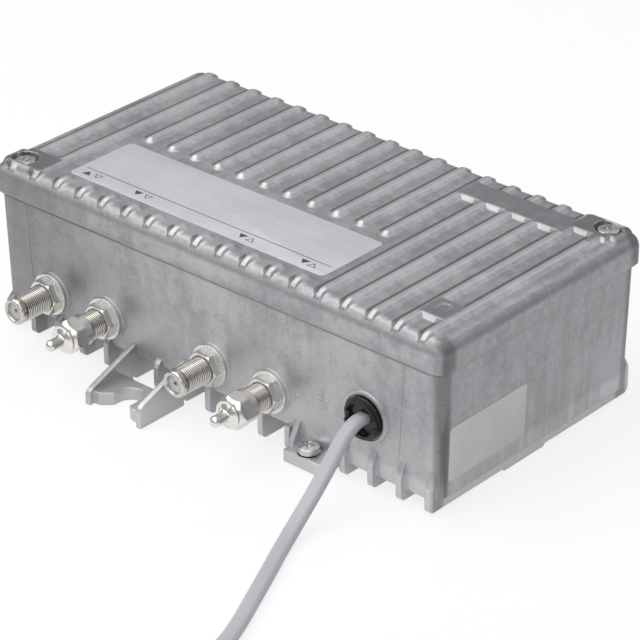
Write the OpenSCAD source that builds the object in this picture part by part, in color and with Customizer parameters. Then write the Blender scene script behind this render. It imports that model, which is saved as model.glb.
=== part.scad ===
// Mains powered antenna amplifier in a die-cast, finned housing with a ribbed screw-on lid.
// Millimetres. Z = 0 is the wall plane the feet and lugs stand on, the sockets look along -Y.

/* [Housing] */
// Width of the housing at its rim
housing_w = 195; // [188:1:204]
// Depth of the housing at its rim
housing_d = 101; // [96:1:108]
// Height of the rim above the wall plane
rim_z = 51; // [48:0.5:56]
// Thickness of the cast walls
wall = 3; // [2.5:0.25:3.5]
// Draft of the cast walls in degrees
draft = 1.5; // [0.5:0.25:2]
// Radius of the upright corners at the rim
corner_r = 5.5; // [4.5:0.5:7]
// Thickness of the floor
floor_t = 2.5; // [2:0.25:3]
// Underside of the floor below the signal board
floor_z = 9.5; // [8.5:0.25:10.5]
// Underside of the deeper floor below the power board
deep_floor_z = 5; // [4:0.25:6]
// Distance from the right end to the middle of the inner wall between the two compartments
partition_end = 62.3; // [60:0.1:64]
// Thickness of the inner wall
partition_t = 2; // [1.6:0.2:2.6]
// Height of the lip that enters the lid
lip_h = 2; // [1.5:0.25:3]
// Thickness of that lip
lip_t = 1; // [0.8:0.1:1.4]

/* [Fins and feet] */
// Number of cooling fins
fin_count = 17; // [15:1:19]
// Distance from the ends of the housing to the middle of the outer fins
fin_inset = 3.7; // [3.2:0.1:4.5]
// Thickness of a fin
fin_t = 2; // [1.6:0.2:2.6]
// Height of the lower fin edges above the wall plane
fin_z = 0.9; // [0.5:0.1:1.5]
// How far the fins stand out past the foot of the wall
fin_out = 1.9; // [1.2:0.1:2.4]
// Radius of the lower fin corners
fin_r = 2.2; // [1.4:0.1:2.6]
// Length of the foot under each outer fin
foot_len = 20; // [14:1:30]
// Middle of that foot along the depth
foot_y = -4; // [-10:0.5:10]

/* [Wall lugs] */
// How far the cheeks of the front lug stand out from the rim line
lug_out = 21.3; // [20:0.1:24]
// Thickness of the lug plates
lug_t = 4.5; // [3.6:0.1:5.4]
// Distance from the cheek's tip back to the plate's front edge
plate_in = 2.1; // [1.6:0.1:3]
// Depth of the lug plate along the housing's depth
plate_d = 14; // [13:0.1:15]
// Radius of the open slot
slot_r = 4.85; // [4:0.05:5.4]
// Distance from the plate's front edge to the middle of the slot's round end
slot_len = 5.8; // [5:0.1:7]
// Height of the left cheek at its tip
cheek_left_h = 5.6; // [5:0.1:7]
// Height of the right cheek at its tip
cheek_right_h = 8; // [6:0.1:9]
// Rise of the cheeks from tip to wall
cheek_rise = 7.9; // [6:0.1:9]
// Clearance between a cheek and a socket boss above it
cheek_clear = 0.3; // [0.2:0.05:0.5]
// Radius of the hole in the rear lug
rear_hole_r = 2.6; // [2.1:0.1:3.1]
// Distance from the rear rim line to that hole
rear_hole_out = 7; // [6:0.25:9]
// Distance from that hole to the end of the rear lug
rear_hole_end = 6.5; // [5.5:0.25:8]

/* [Lid] */
// Overhang of the lid past the housing along the width
lid_over_x = 1.5; // [1:0.1:2]
// Overhang of the lid past the housing along the depth
lid_over_y = 1; // [0.8:0.1:2]
// Height from the rim to the valleys between the ribs
lid_h = 10.8; // [10:0.2:13]
// Thickness of the lid's top
lid_t = 2.5; // [2:0.1:3]
// Radius of the lid's upper edges
lid_edge_r = 5; // [3.5:0.25:5.5]
// Number of ribs
rib_count = 18; // [16:1:19]
// Distance from the lid's ends to the middle of the outer ribs
rib_inset = 8.9; // [8:0.1:10]
// Height of a rib above the valley
rib_h = 1.4; // [1:0.1:1.8]
// Width of a rib's flat crest
rib_crest = 2.1; // [1.6:0.1:2.6]
// Width of a rib at its foot
rib_foot = 6.4; // [5.4:0.2:7]
// How far a rib turns down over the front and rear edge
rib_drop = 3; // [2:0.2:3.4]
// Width of the flat for the type label
label_w = 116; // [100:1:120]
// Depth of that flat
label_d = 34; // [28:1:38]
// Middle of that flat along the width
label_x = -15.6; // [-20:0.2:-10]
// Distance from the lid's front edge to that flat
label_in = 9.9; // [8:0.1:12]
// Width of the raised bar at the rear
bar_w = 44; // [42:0.2:46]
// Depth of the raised bar
bar_d = 9.4; // [8:0.2:10]
// Distance from the lid's right end to the middle of the bar
bar_end = 40.7; // [38:0.1:44]
// Distance from the lid's rear edge to the middle of the bar
bar_in = 14.7; // [13:0.1:17]
// Distance from the lid's front edge to the blind pad at the right end
blind_in = 13.5; // [12:0.5:16]
// Depth of that blind pad
blind_d = 10; // [8:0.5:12]
// Clearance between lid and housing lip
lid_clear = 0.3; // [0.2:0.05:0.5]

/* [Lid screws] */
// Distance from the housing's ends to the lid screws
screw_in_x = 8; // [7.5:0.25:9]
// Distance from the housing's long sides to the lid screws
screw_in_y = 6.5; // [6:0.25:7.5]
// Radius of the screw shank
screw_r = 2; // [1.5:0.25:2.5]
// Radius of the screw head
screw_head_r = 3.7; // [3.2:0.1:4]
// Height of the screw head
screw_head_h = 2.6; // [2:0.1:3]
// Depth of the counterbore in the pad
screw_sink = 3.4; // [2.6:0.1:3.6]
// Length of thread in the housing post
screw_grip = 9; // [6:0.5:12]
// Thickness of the washers under the heads
washer_t = 0.6; // [0.4:0.1:1]
// Radius of the posts that take the screws
post_r = 5.2; // [4.8:0.1:5.4]
// Clearance round threads and shanks
thread_clear = 0.06; // [0.04:0.01:0.1]

/* [Coaxial sockets] */
// Height of the socket axes above the wall plane
port_z = 19.4; // [18.6:0.1:22]
// Distance from the left end to the first socket
port_1_end = 24.1; // [22:0.1:27]
// Distance from the fourth socket to the middle of the inner wall
port_4_in = 8.1; // [7.8:0.1:9]
// Distance between the two sockets of a pair
port_pitch = 26.1; // [22:0.1:27]
// Radius of the threaded barrel, three eighths of an inch across
port_r = 4.7625; // [4.5:0.0125:5]
// Length of the barrel in front of its boss
port_len = 17.8; // [15:0.1:20]
// Width of the nut across its flats
nut_af = 11.1; // [10.6:0.1:12.7]
// Thickness of the nut
nut_t = 3.6; // [2.5:0.1:4]
// Radius of the washer under the nut
port_washer_r = 7.4; // [6.8:0.1:7.8]
// Thickness of that washer
port_washer_t = 1.2; // [0.6:0.1:1.6]
// How much thinner the barrel is behind its nut
port_relief = 0.3; // [0.2:0.05:0.4]
// Radius of the insulator
insulator_r = 3.1; // [2.6:0.1:3.4]
// Radius of the centre contact
contact_r = 0.8; // [0.5:0.05:1]

/* [Terminating caps] */
// Width of the cap across its flats
cap_af = 11; // [10.6:0.1:12]
// Length of the cap's hex
cap_hex = 8.4; // [7:0.1:10]
// Length of the round collar behind the hex
cap_collar = 3.4; // [2.5:0.1:4]
// Length of thread that the cap covers
cap_grip = 8.6; // [7:0.1:9.4]
// Length of the nose in front of the hex
cap_nose = 6.4; // [5:0.1:8]
// Radius of the nose
cap_nose_r = 2.1; // [1.7:0.1:2.6]

/* [Earth terminal] */
// Distance from the inner wall's middle to the earth screw
earth_in = 11.4; // [10:0.2:13]
// Distance of the earth screw in front of the rim line
earth_out = 3; // [2.6:0.1:4]
// Width of the ledge
earth_w = 16; // [14:0.5:18]
// Top of the ledge above the wall plane
earth_z = 5.2; // [4.6:0.1:6.2]
// Radius of the clamp washer
earth_washer_r = 3.9; // [3.7:0.1:4.4]
// Radius of the earth screw's head
earth_head_r = 3.6; // [3:0.1:3.8]

/* [Strain relief] */
// Distance from the right end to the bush
bush_end = 30.3; // [28:0.1:32]
// Height of the bush above the wall plane
bush_z = 25.2; // [24:0.2:27]
// Radius of the bush's flange
bush_r = 7.4; // [7:0.1:8]
// How far the flange stands proud of its seat
bush_t = 3; // [2:0.1:4]
// Radius of the hole in the wall
bush_hole_r = 6.35; // [6:0.05:6.7]
// Clearance of the bush in its hole
bush_clear = 0.1; // [0.05:0.01:0.2]
// Length of the bush behind its seat
bush_len = 6.6; // [6:0.1:8]

/* [Mains lead] */
// Width of the flat lead
cord_w = 5.4; // [5:0.1:6]
// Thickness of the flat lead
cord_t = 3.4; // [3:0.1:3.6]
// Clearance of the lead in the bush
cord_clear = 0.15; // [0.1:0.05:0.3]
// Thickness of the strap round the coil
tie_t = 0.6; // [0.4:0.1:0.8]
// Width of that strap
tie_w = 8; // [5:0.5:12]

/* [Plug] */
// Width of the plug's face
plug_w = 35; // [33:0.5:37]
// Height of the plug
plug_h = 13.6; // [13:0.1:14]
// Length of the plug's body
plug_len = 33; // [28:0.5:38]
// Length of the tapered relief behind it
plug_relief = 20; // [16:0.5:24]
// Radius of a plug pin
pin_r = 2; // [1.9:0.05:2.4]
// Length of a plug pin
pin_len = 19; // [18:0.5:20]
// Distance between the two pins
pin_pitch = 18.6; // [17.5:0.1:19.2]

/* [Inside] */
// Thickness of both boards
board_t = 1.6; // [1:0.1:2]
// Height of the posts below the boards
board_lift = 2; // [1.6:0.1:3]
// Distance of the board screws from the board edges
post_in = 5; // [4:0.25:6]
// Length of a board screw's shank
board_screw_len = 5; // [4:0.5:6]
// Distance from the shield to the signal board's left edge
shield_left = 29; // [26:0.5:32]
// Distance from the shield to the signal board's right edge
shield_right = 18.6; // [16:0.2:22]
// Distance from the shield to the signal board's front edge
shield_front = 26; // [24:0.5:28]
// Distance from the shield to the signal board's rear edge
shield_rear = 7; // [5:0.5:9]
// Depth of the shield's front row of cells
shield_cell = 28; // [24:0.5:29]
// Height of the tinplate shield walls
shield_h = 13; // [10:0.5:16]
// Thickness of the shield walls
shield_t = 0.6; // [0.4:0.1:1]
// Side of a trimmer's case
trimmer_w = 7; // [6:0.25:7.5]
// Height of a trimmer's case
trimmer_h = 4.5; // [3:0.25:6]
// Radius of a trimmer's rotor
trimmer_r = 2.6; // [2:0.1:2.8]
// Side of a filter can
can_w = 8; // [6:0.5:9]
// Height of a filter can
can_h = 10; // [8:0.5:12]
// Half the distance between two filter cans of a cell
can_gap = 7; // [5.5:0.25:8]
// Depth of the tuning hole in a filter can
can_hole = 6; // [4:0.5:8]
// Length of an amplifier chip's heat spreader
chip_w = 22; // [18:0.5:24]
// Depth of an amplifier chip
chip_d = 8; // [6:0.5:10]
// Height of an amplifier chip
chip_h = 5; // [4:0.5:7]
// Length of a chip's heat spreader beyond its case
chip_ear = 3; // [2:0.25:4]
// Side of the mains terminal block
block_w = 12; // [10:0.5:14]
// Depth of the mains terminal block
block_d = 8; // [7:0.5:9]
// Height of the mains terminal block
block_h = 10; // [9:0.5:12]
// Length of the fuse
fuse_len = 18; // [16:0.5:20]
// Radius of the choke
choke_r = 7; // [6:0.25:7.5]
// Distance from the choke to the power board's left edge
choke_end = 12.8; // [12:0.1:14]
// Height of the bulk capacitor
bulk_h = 21; // [16:0.5:24]
// Radius of the bulk capacitor
bulk_r = 6.5; // [5:0.25:7]
// Distance from the bulk capacitor to the power board's right edge
bulk_end = 11; // [9:0.25:13]
// Distance from the bulk capacitor to the power board's rear edge
bulk_in = 32.5; // [30:0.25:35]
// Height of the transformer
transformer_h = 19; // [14:0.5:22]
// Distance from the transformer to the power board's left edge
transformer_end = 17.8; // [17:0.1:20]
// Distance from the transformer to the power board's rear edge
transformer_in = 31.5; // [30:0.25:33]
// Height of the smoothing capacitors
smoothing_h = 13; // [10:0.5:16]

/* [Hidden] */
$fn = 48;
eps = 0.01;

lean = tan(draft);
half_w = housing_w / 2;
half_d = housing_d / 2;
inner_r = max(corner_r - wall, 3);
lid_w = housing_w + 2 * lid_over_x;
lid_d = housing_d + 2 * lid_over_y;
valley_z = rim_z + lid_h;
crest_z = valley_z + rib_h;
rib_pitch = (lid_w - 2 * rib_inset) / (rib_count - 1);
label_y = -lid_d / 2 + label_in + label_d / 2;
bar_x = lid_w / 2 - bar_end;
bar_y = lid_d / 2 - bar_in;
partition_x = half_w - partition_end;

// Fins, and the lugs that run on from three of them
fin_pitch = (housing_w - 2 * fin_inset) / (fin_count - 1);
fin_top = floor_z + 0.4;
fin_half = half_d - (rim_z - floor_z) * lean + fin_out - 0.01;
lug_x = -2 * fin_pitch;
lug_front = -half_d - lug_out;
plate_front = lug_front + plate_in;
slot_y = plate_front + slot_len;
rear_lug_end = half_d + rear_hole_out + rear_hole_end;

boss_y = -half_d + 0.3;
port_boss_r = port_washer_r + 0.5;
bush_seat_y = -half_d + 0.5;
seat_y = -half_d + wall + 0.5;
barrel_y = boss_y - port_len;
nut_y = boss_y - port_washer_t - nut_t;
cap_y = barrel_y + cap_grip;
cap_tip = cap_y - cap_collar - cap_hex - cap_nose;
port_4_x = partition_x - port_4_in;
port_1_x = -half_w + port_1_end;
port_x = [port_1_x, port_1_x + port_pitch, port_4_x - port_pitch, port_4_x];
frame_y = -(min(cap_tip, lug_front) + rear_lug_end) / 2;

screw_x = half_w - screw_in_x;
screw_y = half_d - screw_in_y;
screw_seat_z = crest_z - screw_sink;
post_top = rim_z + lip_h;
earth_x = partition_x + earth_in;
earth_y = -half_d - earth_out;
bush_x = half_w - bush_end;

signal_z = floor_z + floor_t + board_lift;
signal_top = signal_z + board_t;
power_z = deep_floor_z + floor_t + board_lift;
power_top = power_z + board_t;
part_left = partition_x - partition_t / 2;
part_right = partition_x + partition_t / 2;
signal_x0 = -half_w + wall + 3.5;
signal_x1 = part_left - 1.6;
power_x0 = part_right + 2;
power_x1 = half_w - wall - 3.5;
board_y0 = seat_y + 3;
board_y1 = half_d - wall - 2.5;
signal_posts = [[signal_x0 + post_in, board_y0 + 16], [signal_x1 - post_in, board_y0 + 22],
  [signal_x0 + post_in, board_y1 - post_in], [signal_x1 - post_in, board_y1 - post_in]];
power_posts = [[power_x0 + post_in, board_y0 + post_in], [power_x1 - post_in, board_y0 + post_in],
  [power_x0 + post_in, board_y1 - post_in], [power_x1 - post_in - 10, board_y1 - post_in]];
trimmer_y = board_y0 + 13;
block_y = board_y0 + 15;
shield_x0 = signal_x0 + shield_left;
shield_x1 = signal_x1 - shield_right;
shield_y0 = board_y0 + shield_front;
shield_y1 = board_y1 - shield_rear;
shield_mid_x = (shield_x0 + shield_x1) / 2;
shield_mid_y = shield_y0 + shield_cell;
cell_x = [(shield_x0 + shield_mid_x) / 2, (shield_mid_x + shield_x1) / 2];

// Middle line of the lead from inside the bush to the start of the coil, with its roll in degrees
lead_route = [[67.2, -43.4, 25.2, 0], [67.2, -50, 25.2, 0], [67.2, -55, 25, 0], [67.5, -60.5, 22.6, 0],
  [67.7, -65, 18.6, 0], [68, -69, 15, 0], [68.3, -73, 11.8, 0], [68.7, -77.5, 8.5, 0],
  [69.4, -82.5, 5.6, 0], [70.7, -88, 3.4, 0], [72.8, -94, 2.2, 0], [75.8, -101, 1.8, 0],
  [79.4, -108.5, 1.8, 0], [86.3, -123.4, 1.8, 0], [92, -136, 1.8, 0], [96.4, -148, 2.1, 15],
  [99.2, -160, 2.6, 45], [100.6, -171, 3.3, 75], [100.9, -180, 3.7, 90], [100.9, -183, 3.7, 90],
  [100.9, -186.1, 3.7, 90]];
tail_route = [[103.1, -196.9, 9.7, 90], [103.1, -198.6, 9.7, 90], [103.1, -200.4, 9.7, 90],
  [102.6, -207, 9.6, 88], [100.6, -214, 8.9, 70], [96.6, -221, 7.8, 45], [90.6, -226.6, 6.9, 20],
  [84, -230, 6.6, 5], [78, -231, 6.8, 0], [73, -231, 6.8, 0], [68, -231, 6.8, 0]];
coil_c = [141, -191.5];
coil_in = 22.5;
coil_step = 4.4;
coil_layer = 6;
coil_z = 3.7;
coil_turns = 4;
coil_back = 3.5;
coil_out = coil_in + coil_step * coil_turns;

// A rounded rectangle from two squares and four circles
module rounded_rect(w, d, r) {
  square([w - 2 * r, d], center = true);
  square([w, d - 2 * r], center = true);
  for (sx = [-1, 1], sy = [-1, 1]) translate([sx * (w / 2 - r), sy * (d / 2 - r)]) circle(r);
}

// A ring between two rounded rectangles, drawn in from the housing's rim line
module rim_ring(inset, t) {
  difference() {
    rounded_rect(housing_w - 2 * inset, housing_d - 2 * inset, max(corner_r - inset, 1.5));
    rounded_rect(housing_w - 2 * inset - 2 * t, housing_d - 2 * inset - 2 * t, max(corner_r - inset - t, 1));
  }
}

// A box with drafted walls and rounded upright corners, sized at the rim
module drafted_box(w, d, z0, z1, r) {
  hull() for (sx = [-1, 1], sy = [-1, 1]) translate([sx * (w / 2 - r), sy * (d / 2 - r), z0])
    cylinder(h = z1 - z0, r1 = r - (rim_z - z0) * lean, r2 = r - (rim_z - z1) * lean, $fn = 32);
}

// Lays a drawing on the plane across X, with its width along Y and its height along Z
module along_x(t, x = 0) {
  translate([x, 0, 0]) rotate([90, 0, 90]) linear_extrude(t, center = true) children();
}

// Lays a drawing on the plane across Y, with its width along X and its height along Z
module along_y(t, y = 0) {
  translate([0, y, 0]) rotate([90, 0, 0]) linear_extrude(t, center = true) children();
}

// A round bar along Y from y0 to y1
module bar_y_axis(x, z, y0, y1, r) {
  translate([x, max(y0, y1), z]) rotate([90, 0, 0]) cylinder(h = abs(y1 - y0), r = r);
}

// A nut shape along Y from y0 to y1
module hex_y_axis(x, z, y0, y1, af) {
  translate([x, max(y0, y1), z]) rotate([90, 0, 0]) cylinder(h = abs(y1 - y0), r = af / 2 / cos(30), $fn = 6);
}

module fin_profile(half, z0, z1, r) {
  translate([-half, z0 + r]) square([2 * half, z1 - z0 - r]);
  translate([-half + r, z0]) square([2 * half - 2 * r, z1 - z0]);
  for (s = [-1, 1]) translate([s * (half - r), z0 + r]) circle(r);
}

module fins() {
  for (k = [0:fin_count - 1]) {
    x = (k - (fin_count - 1) / 2) * fin_pitch;
    along_x(fin_t, x) fin_profile(fin_half, fin_z, fin_top, fin_r);
  }
  for (s = [-1, 1]) along_x(fin_t, s * (fin_count - 1) / 2 * fin_pitch) translate([foot_y, 0])
    polygon([[-foot_len / 2, 0], [foot_len / 2, 0], [foot_len / 2 + 2, 2], [-foot_len / 2 - 2, 2]]);
}

// Depth of the drafted wall's outer face from the middle at a height
function wall_at(z) = half_d - (rim_z - z) * lean;

// Height at which a front cheek meets the wall, below a socket boss that stands over it
function cheek_top(x, h) = min([for (p = port_x) abs(x - p) > port_boss_r + fin_t / 2 + cheek_clear
  ? h + cheek_rise : min(h + cheek_rise, port_z - port_boss_r - cheek_clear)]);

// Side view of a lug's cheek: rounded tip, straight rise to the wall, seated on the fin and the wall
module cheek(x, tip, h, top) {
  along_x(fin_t, x) union() {
    polygon([[fin_half, 0], [tip, 0], [tip, h - 2], [tip - 0.6, h - 0.9], [tip - 1.6, h], [wall_at(top), top],
      [wall_at(fin_top), fin_top], [fin_half, fin_top]]);
  }
}

// Open-ended lug: two cheeks run on from fins, and a slotted plate with slanted prongs joins them
module wall_lug_front() {
  xl = lug_x - fin_pitch;
  xr = lug_x + fin_pitch;
  x0 = xl + fin_t / 2;
  x1 = xr - fin_t / 2;
  color("silver") union() {
    mirror([0, 1, 0]) {
      cheek(xl, -lug_front, cheek_left_h, cheek_top(xl, cheek_left_h));
      cheek(xr, -lug_front, cheek_right_h, cheek_top(xr, cheek_right_h));
    }
    linear_extrude(lug_t) difference() {
      polygon([[x0 - eps, plate_front], [x0 + 2.6, plate_front + 0.4], [lug_x - slot_r, plate_front + 3.5],
        [lug_x + slot_r, plate_front + 1], [lug_x + slot_r + 2.2, plate_front], [x1 + eps, plate_front],
        [x1 + eps, plate_front + plate_d], [x0 - eps, plate_front + plate_d]]);
      translate([lug_x, slot_y]) circle(slot_r);
      translate([lug_x - slot_r, plate_front - 1]) square([2 * slot_r, slot_len + 1]);
    }
  }
}

// Closed lug at the rear: the same cheeks, and a plate with one round hole
module wall_lug_rear() {
  x1 = fin_pitch - fin_t / 2 + eps;
  color("silver") difference() {
    union() {
      for (s = [-1, 1]) cheek(s * fin_pitch, rear_lug_end, cheek_left_h, cheek_left_h + cheek_rise);
      translate([-x1, fin_half + 1, 0]) cube([2 * x1, rear_lug_end - fin_half - 2, lug_t]);
    }
    translate([0, half_d + rear_hole_out, -1]) cylinder(h = lug_t + 2, r = rear_hole_r);
  }
}

module earth_ledge() {
  x0 = earth_x - earth_w / 2;
  front = earth_y - 3.2;
  translate([x0, front, fin_z]) cube([earth_w, -half_d + 3 - front, earth_z - fin_z]);
  along_x(fin_t, x0 + fin_t / 2 - 1)
    polygon([[front + 3, fin_z], [front + 3, earth_z], [-half_d + 0.9, earth_z + 8],
    [-half_d + 3, earth_z + 8], [-half_d + 3, fin_z]]);
}

module lid_posts() {
  for (s = [-1, 1]) translate([s * screw_x, s * screw_y, floor_z])
    cylinder(h = post_top - floor_z, r = post_r);
}

module housing_solid() {
  difference() {
    union() {
      difference() {
        drafted_box(housing_w, housing_d, deep_floor_z, rim_z, corner_r);
        translate([-housing_w, -housing_d, deep_floor_z - 1])
          cube([housing_w + part_left, 2 * housing_d, floor_z - deep_floor_z + 1]);
      }
      fins();
      earth_ledge();
      for (x = port_x) bar_y_axis(x, port_z, boss_y, boss_y + wall, port_boss_r);
      bar_y_axis(bush_x, bush_z, -half_d - 0.2, boss_y + wall, bush_r + 1.9);
      translate([0, 0, rim_z - 1]) linear_extrude(lip_h + 1) rim_ring(wall - lip_t, lip_t);
    }
    difference() {
      drafted_box(housing_w - 2 * wall, housing_d - 2 * wall, deep_floor_z + floor_t,
        rim_z + lip_h + 1, inner_r);
      translate([-housing_w, -housing_d, 0]) cube([housing_w + part_right, 2 * housing_d, floor_z + floor_t]);
      difference() {
        translate([part_left, -housing_d, 0]) cube([partition_t, 2 * housing_d, rim_z - 4]);
        translate([part_left - 1, 12, signal_top + 4]) cube([partition_t + 2, 14, rim_z]);
      }
      lid_posts();
      for (p = signal_posts) translate([p[0], p[1], floor_z]) cylinder(h = signal_z - floor_z, r = 3);
      for (p = power_posts) translate([p[0], p[1], deep_floor_z]) cylinder(h = power_z - deep_floor_z, r = 3);
    }
    for (x = port_x) {
      bar_y_axis(x, port_z, boss_y - 1, seat_y + 1, port_r + thread_clear);
      bar_y_axis(x, port_z, seat_y, seat_y + 3, 7);
    }
    bar_y_axis(bush_x, bush_z, -half_d - 2, boss_y + wall + 2, bush_hole_r);
    bar_y_axis(bush_x, bush_z, -half_d - 2, bush_seat_y, bush_r + 0.5);
    translate([earth_x, earth_y, fin_z - 1]) cylinder(h = earth_z - fin_z + 2, r = screw_r + thread_clear);
    translate([earth_x, earth_y, earth_z]) cylinder(h = fin_top - earth_z + 1, r = earth_washer_r + 0.2);
    for (s = [-1, 1]) translate([s * screw_x, s * screw_y, post_top - screw_grip - 2])
      cylinder(h = screw_grip + 3, r = screw_r + thread_clear);
    for (p = signal_posts) translate([p[0], p[1], signal_z - 4]) cylinder(h = 5, r = 1.25 + thread_clear);
    for (p = power_posts) translate([p[0], p[1], power_z - 4]) cylinder(h = 5, r = 1.25 + thread_clear);
  }
}

module housing() {
  color("silver") housing_solid();
}

// Outline of one rib across its length: flat crest, curved flanks, narrow tongue down the edge
module rib_outline(x) {
  c = rib_crest / 2;
  f = rib_foot / 2;
  translate([x, 0]) polygon([[-c - 0.2, crest_z - rib_drop], [-c - 0.2, valley_z - 0.6], [-f, valley_z],
    [-f + 0.25 * (f - c), valley_z + 0.1 * rib_h], [-f + 0.6 * (f - c), valley_z + 0.5 * rib_h],
    [-c - 0.1 * (f - c), valley_z + 0.92 * rib_h], [-c, crest_z], [c, crest_z],
    [c + 0.1 * (f - c), valley_z + 0.92 * rib_h], [f - 0.6 * (f - c), valley_z + 0.5 * rib_h],
    [f - 0.25 * (f - c), valley_z + 0.1 * rib_h], [f, valley_z], [c + 0.2, valley_z - 0.6],
    [c + 0.2, crest_z - rib_drop]]);
}

// Side view of the ribs and pads: flat on top, rounded down over the front and rear edge
module rib_side() {
  r = lid_edge_r + 1;
  half = lid_d / 2 - 0.6 - r + (r - sqrt(r * r - (r - rib_drop) * (r - rib_drop)));
  intersection() {
    union() {
      translate([-half, crest_z - rib_drop]) square([2 * half, rib_drop]);
      for (s = [-1, 1]) translate([s * half, crest_z - r]) circle(r);
    }
    translate([-lid_d, crest_z - rib_drop]) square([2 * lid_d, rib_drop]);
  }
}

// A flat at crest height with a short ramp in front, between x0 and x1
module pad(x0, x1, y0, y1) {
  along_x(x1 - x0, (x0 + x1) / 2)
    polygon([[y0 - 2.5, valley_z - 1], [y0 - 2.5, valley_z], [y0, crest_z], [y1, crest_z],
      [y1, valley_z - 1]]);
}

function rib_at(i) = (i - (rib_count - 1) / 2) * rib_pitch;

module ribs_and_pads() {
  outer = rib_at(rib_count - 1);
  inner = rib_at(rib_count - 2);
  intersection() {
    union() {
      difference() {
        along_y(lid_d) for (i = [0:rib_count - 1]) rib_outline(rib_at(i));
        translate([label_x - label_w / 2, label_y - label_d / 2, valley_z - 3])
          cube([label_w, label_d, rib_h + 4]);
      }
      pad(-outer, -inner, -lid_d / 2, -screw_y + 7);
      pad(inner, outer, screw_y - 6, lid_d / 2);
      pad(inner, outer, -lid_d / 2 + blind_in, -lid_d / 2 + blind_in + blind_d);
      pad(bar_x - bar_w / 2, bar_x + bar_w / 2, bar_y - bar_d / 2, bar_y + bar_d / 2);
      for (s = [-1, 1]) translate([s * screw_x, s * screw_y, crest_z - rib_drop])
        cylinder(h = rib_drop, r = 6.5);
    }
    along_x(lid_w) rib_side();
  }
}

module lid_shell() {
  r = lid_edge_r;
  hull() for (sx = [-1, 1], sy = [-1, 1]) {
    translate([sx * (lid_w / 2 - corner_r), sy * (lid_d / 2 - corner_r), rim_z])
      cylinder(h = 1, r = corner_r, $fn = 32);
    translate([sx * (lid_w / 2 - corner_r - 0.2), sy * (lid_d / 2 - corner_r - 0.2), valley_z - r])
      rotate_extrude($fn = 32) intersection() {
        translate([corner_r - r, 0]) circle(r, $fn = 32);
        square([corner_r + 1, r + 1]);
      }
  }
}

module lid() {
  cav_w = housing_w - 2 * wall + 2 * lip_t + 2 * lid_clear;
  cav_d = housing_d - 2 * wall + 2 * lip_t + 2 * lid_clear;
  color("silver") difference() {
    union() {
      lid_shell();
      ribs_and_pads();
    }
    difference() {
      translate([0, 0, rim_z - 1]) linear_extrude(lid_h - lid_t + 1) rounded_rect(cav_w, cav_d, 3);
      for (s = [-1, 1]) translate([s * screw_x, s * screw_y, post_top + lid_clear])
        cylinder(h = lid_h, r = 7);
    }
    translate([0, 0, rim_z - 1]) linear_extrude(1.7)
      rounded_rect(housing_w - 1.2, housing_d - 1.2, corner_r - 0.6);
    for (s = [-1, 1]) {
      translate([s * screw_x, s * screw_y, screw_seat_z])
        cylinder(h = screw_sink + 1, r = screw_head_r + 0.8);
      translate([s * screw_x, s * screw_y, rim_z]) cylinder(h = lid_h + 2, r = screw_r + 0.2);
    }
  }
}

module lid_gasket() {
  color("dimgray") translate([0, 0, rim_z]) linear_extrude(0.62)
    rim_ring(0.85, wall - lip_t - 0.85 - lid_clear);
}

// Screw with a flat round head and a cross recess, head seated at z
module cross_screw(x, y, z, head_r, head_h, len) {
  translate([x, y, z]) difference() {
    union() {
      cylinder(h = head_h, r = head_r);
      translate([0, 0, -len]) cylinder(h = len + eps, r = screw_r);
    }
    for (a = [0, 90]) rotate([0, 0, a]) translate([-head_r * 0.55, -0.45, head_h - 1.3])
      cube([head_r * 1.1, 0.9, 2]);
  }
}

module ring_z(x, y, z, t, r, bore) {
  translate([x, y, z]) difference() {
    cylinder(h = t, r = r);
    translate([0, 0, -1]) cylinder(h = t + 2, r = bore);
  }
}

module lid_screw(s) {
  len = screw_seat_z + washer_t - post_top + screw_grip;
  color("lightgray")
    cross_screw(s * screw_x, s * screw_y, screw_seat_z + washer_t, screw_head_r, screw_head_h, len);
}

module lid_washer(s) {
  color("gray") ring_z(s * screw_x, s * screw_y, screw_seat_z, washer_t, screw_head_r + 0.3,
    screw_r + thread_clear);
}

module f_socket(x) {
  color("lightgray") difference() {
    union() {
      bar_y_axis(x, port_z, barrel_y, nut_y, port_r);
      bar_y_axis(x, port_z, nut_y - eps, seat_y, port_r - port_relief);
      bar_y_axis(x, port_z, seat_y, seat_y + 2, 6.6);
      bar_y_axis(x, port_z, seat_y + 2, seat_y + 5, insulator_r + 0.6);
    }
    bar_y_axis(x, port_z, barrel_y - 1, seat_y + 6, insulator_r);
  }
}

module f_nut(x) {
  color("lightgray") difference() {
    intersection() {
      hex_y_axis(x, port_z, nut_y, nut_y + nut_t, nut_af);
      translate([x, nut_y + nut_t, port_z]) rotate([90, 0, 0])
        cylinder(h = nut_t, r1 = nut_af / 2 + 3, r2 = nut_af / 2 + 0.35);
    }
    bar_y_axis(x, port_z, nut_y - 1, nut_y + nut_t + 1, port_r + thread_clear);
  }
}

module f_washer(x) {
  color("gray") difference() {
    bar_y_axis(x, port_z, boss_y - port_washer_t, boss_y, port_washer_r);
    bar_y_axis(x, port_z, boss_y - port_washer_t - 1, boss_y + 1, port_r + 0.1);
  }
}

module f_insulators() {
  color("white") for (x = port_x) difference() {
    bar_y_axis(x, port_z, barrel_y + 1.2, seat_y + 5.6, insulator_r - 0.03);
    bar_y_axis(x, port_z, barrel_y, seat_y + 7, contact_r + 0.03);
  }
}

module f_contact(x) {
  color("gold") union() {
    bar_y_axis(x, port_z, barrel_y + 2.6, seat_y + 9.5, contact_r);
    translate([x, seat_y + 8.8, signal_top]) cylinder(h = port_z - signal_top, r = 0.6);
  }
}

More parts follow.
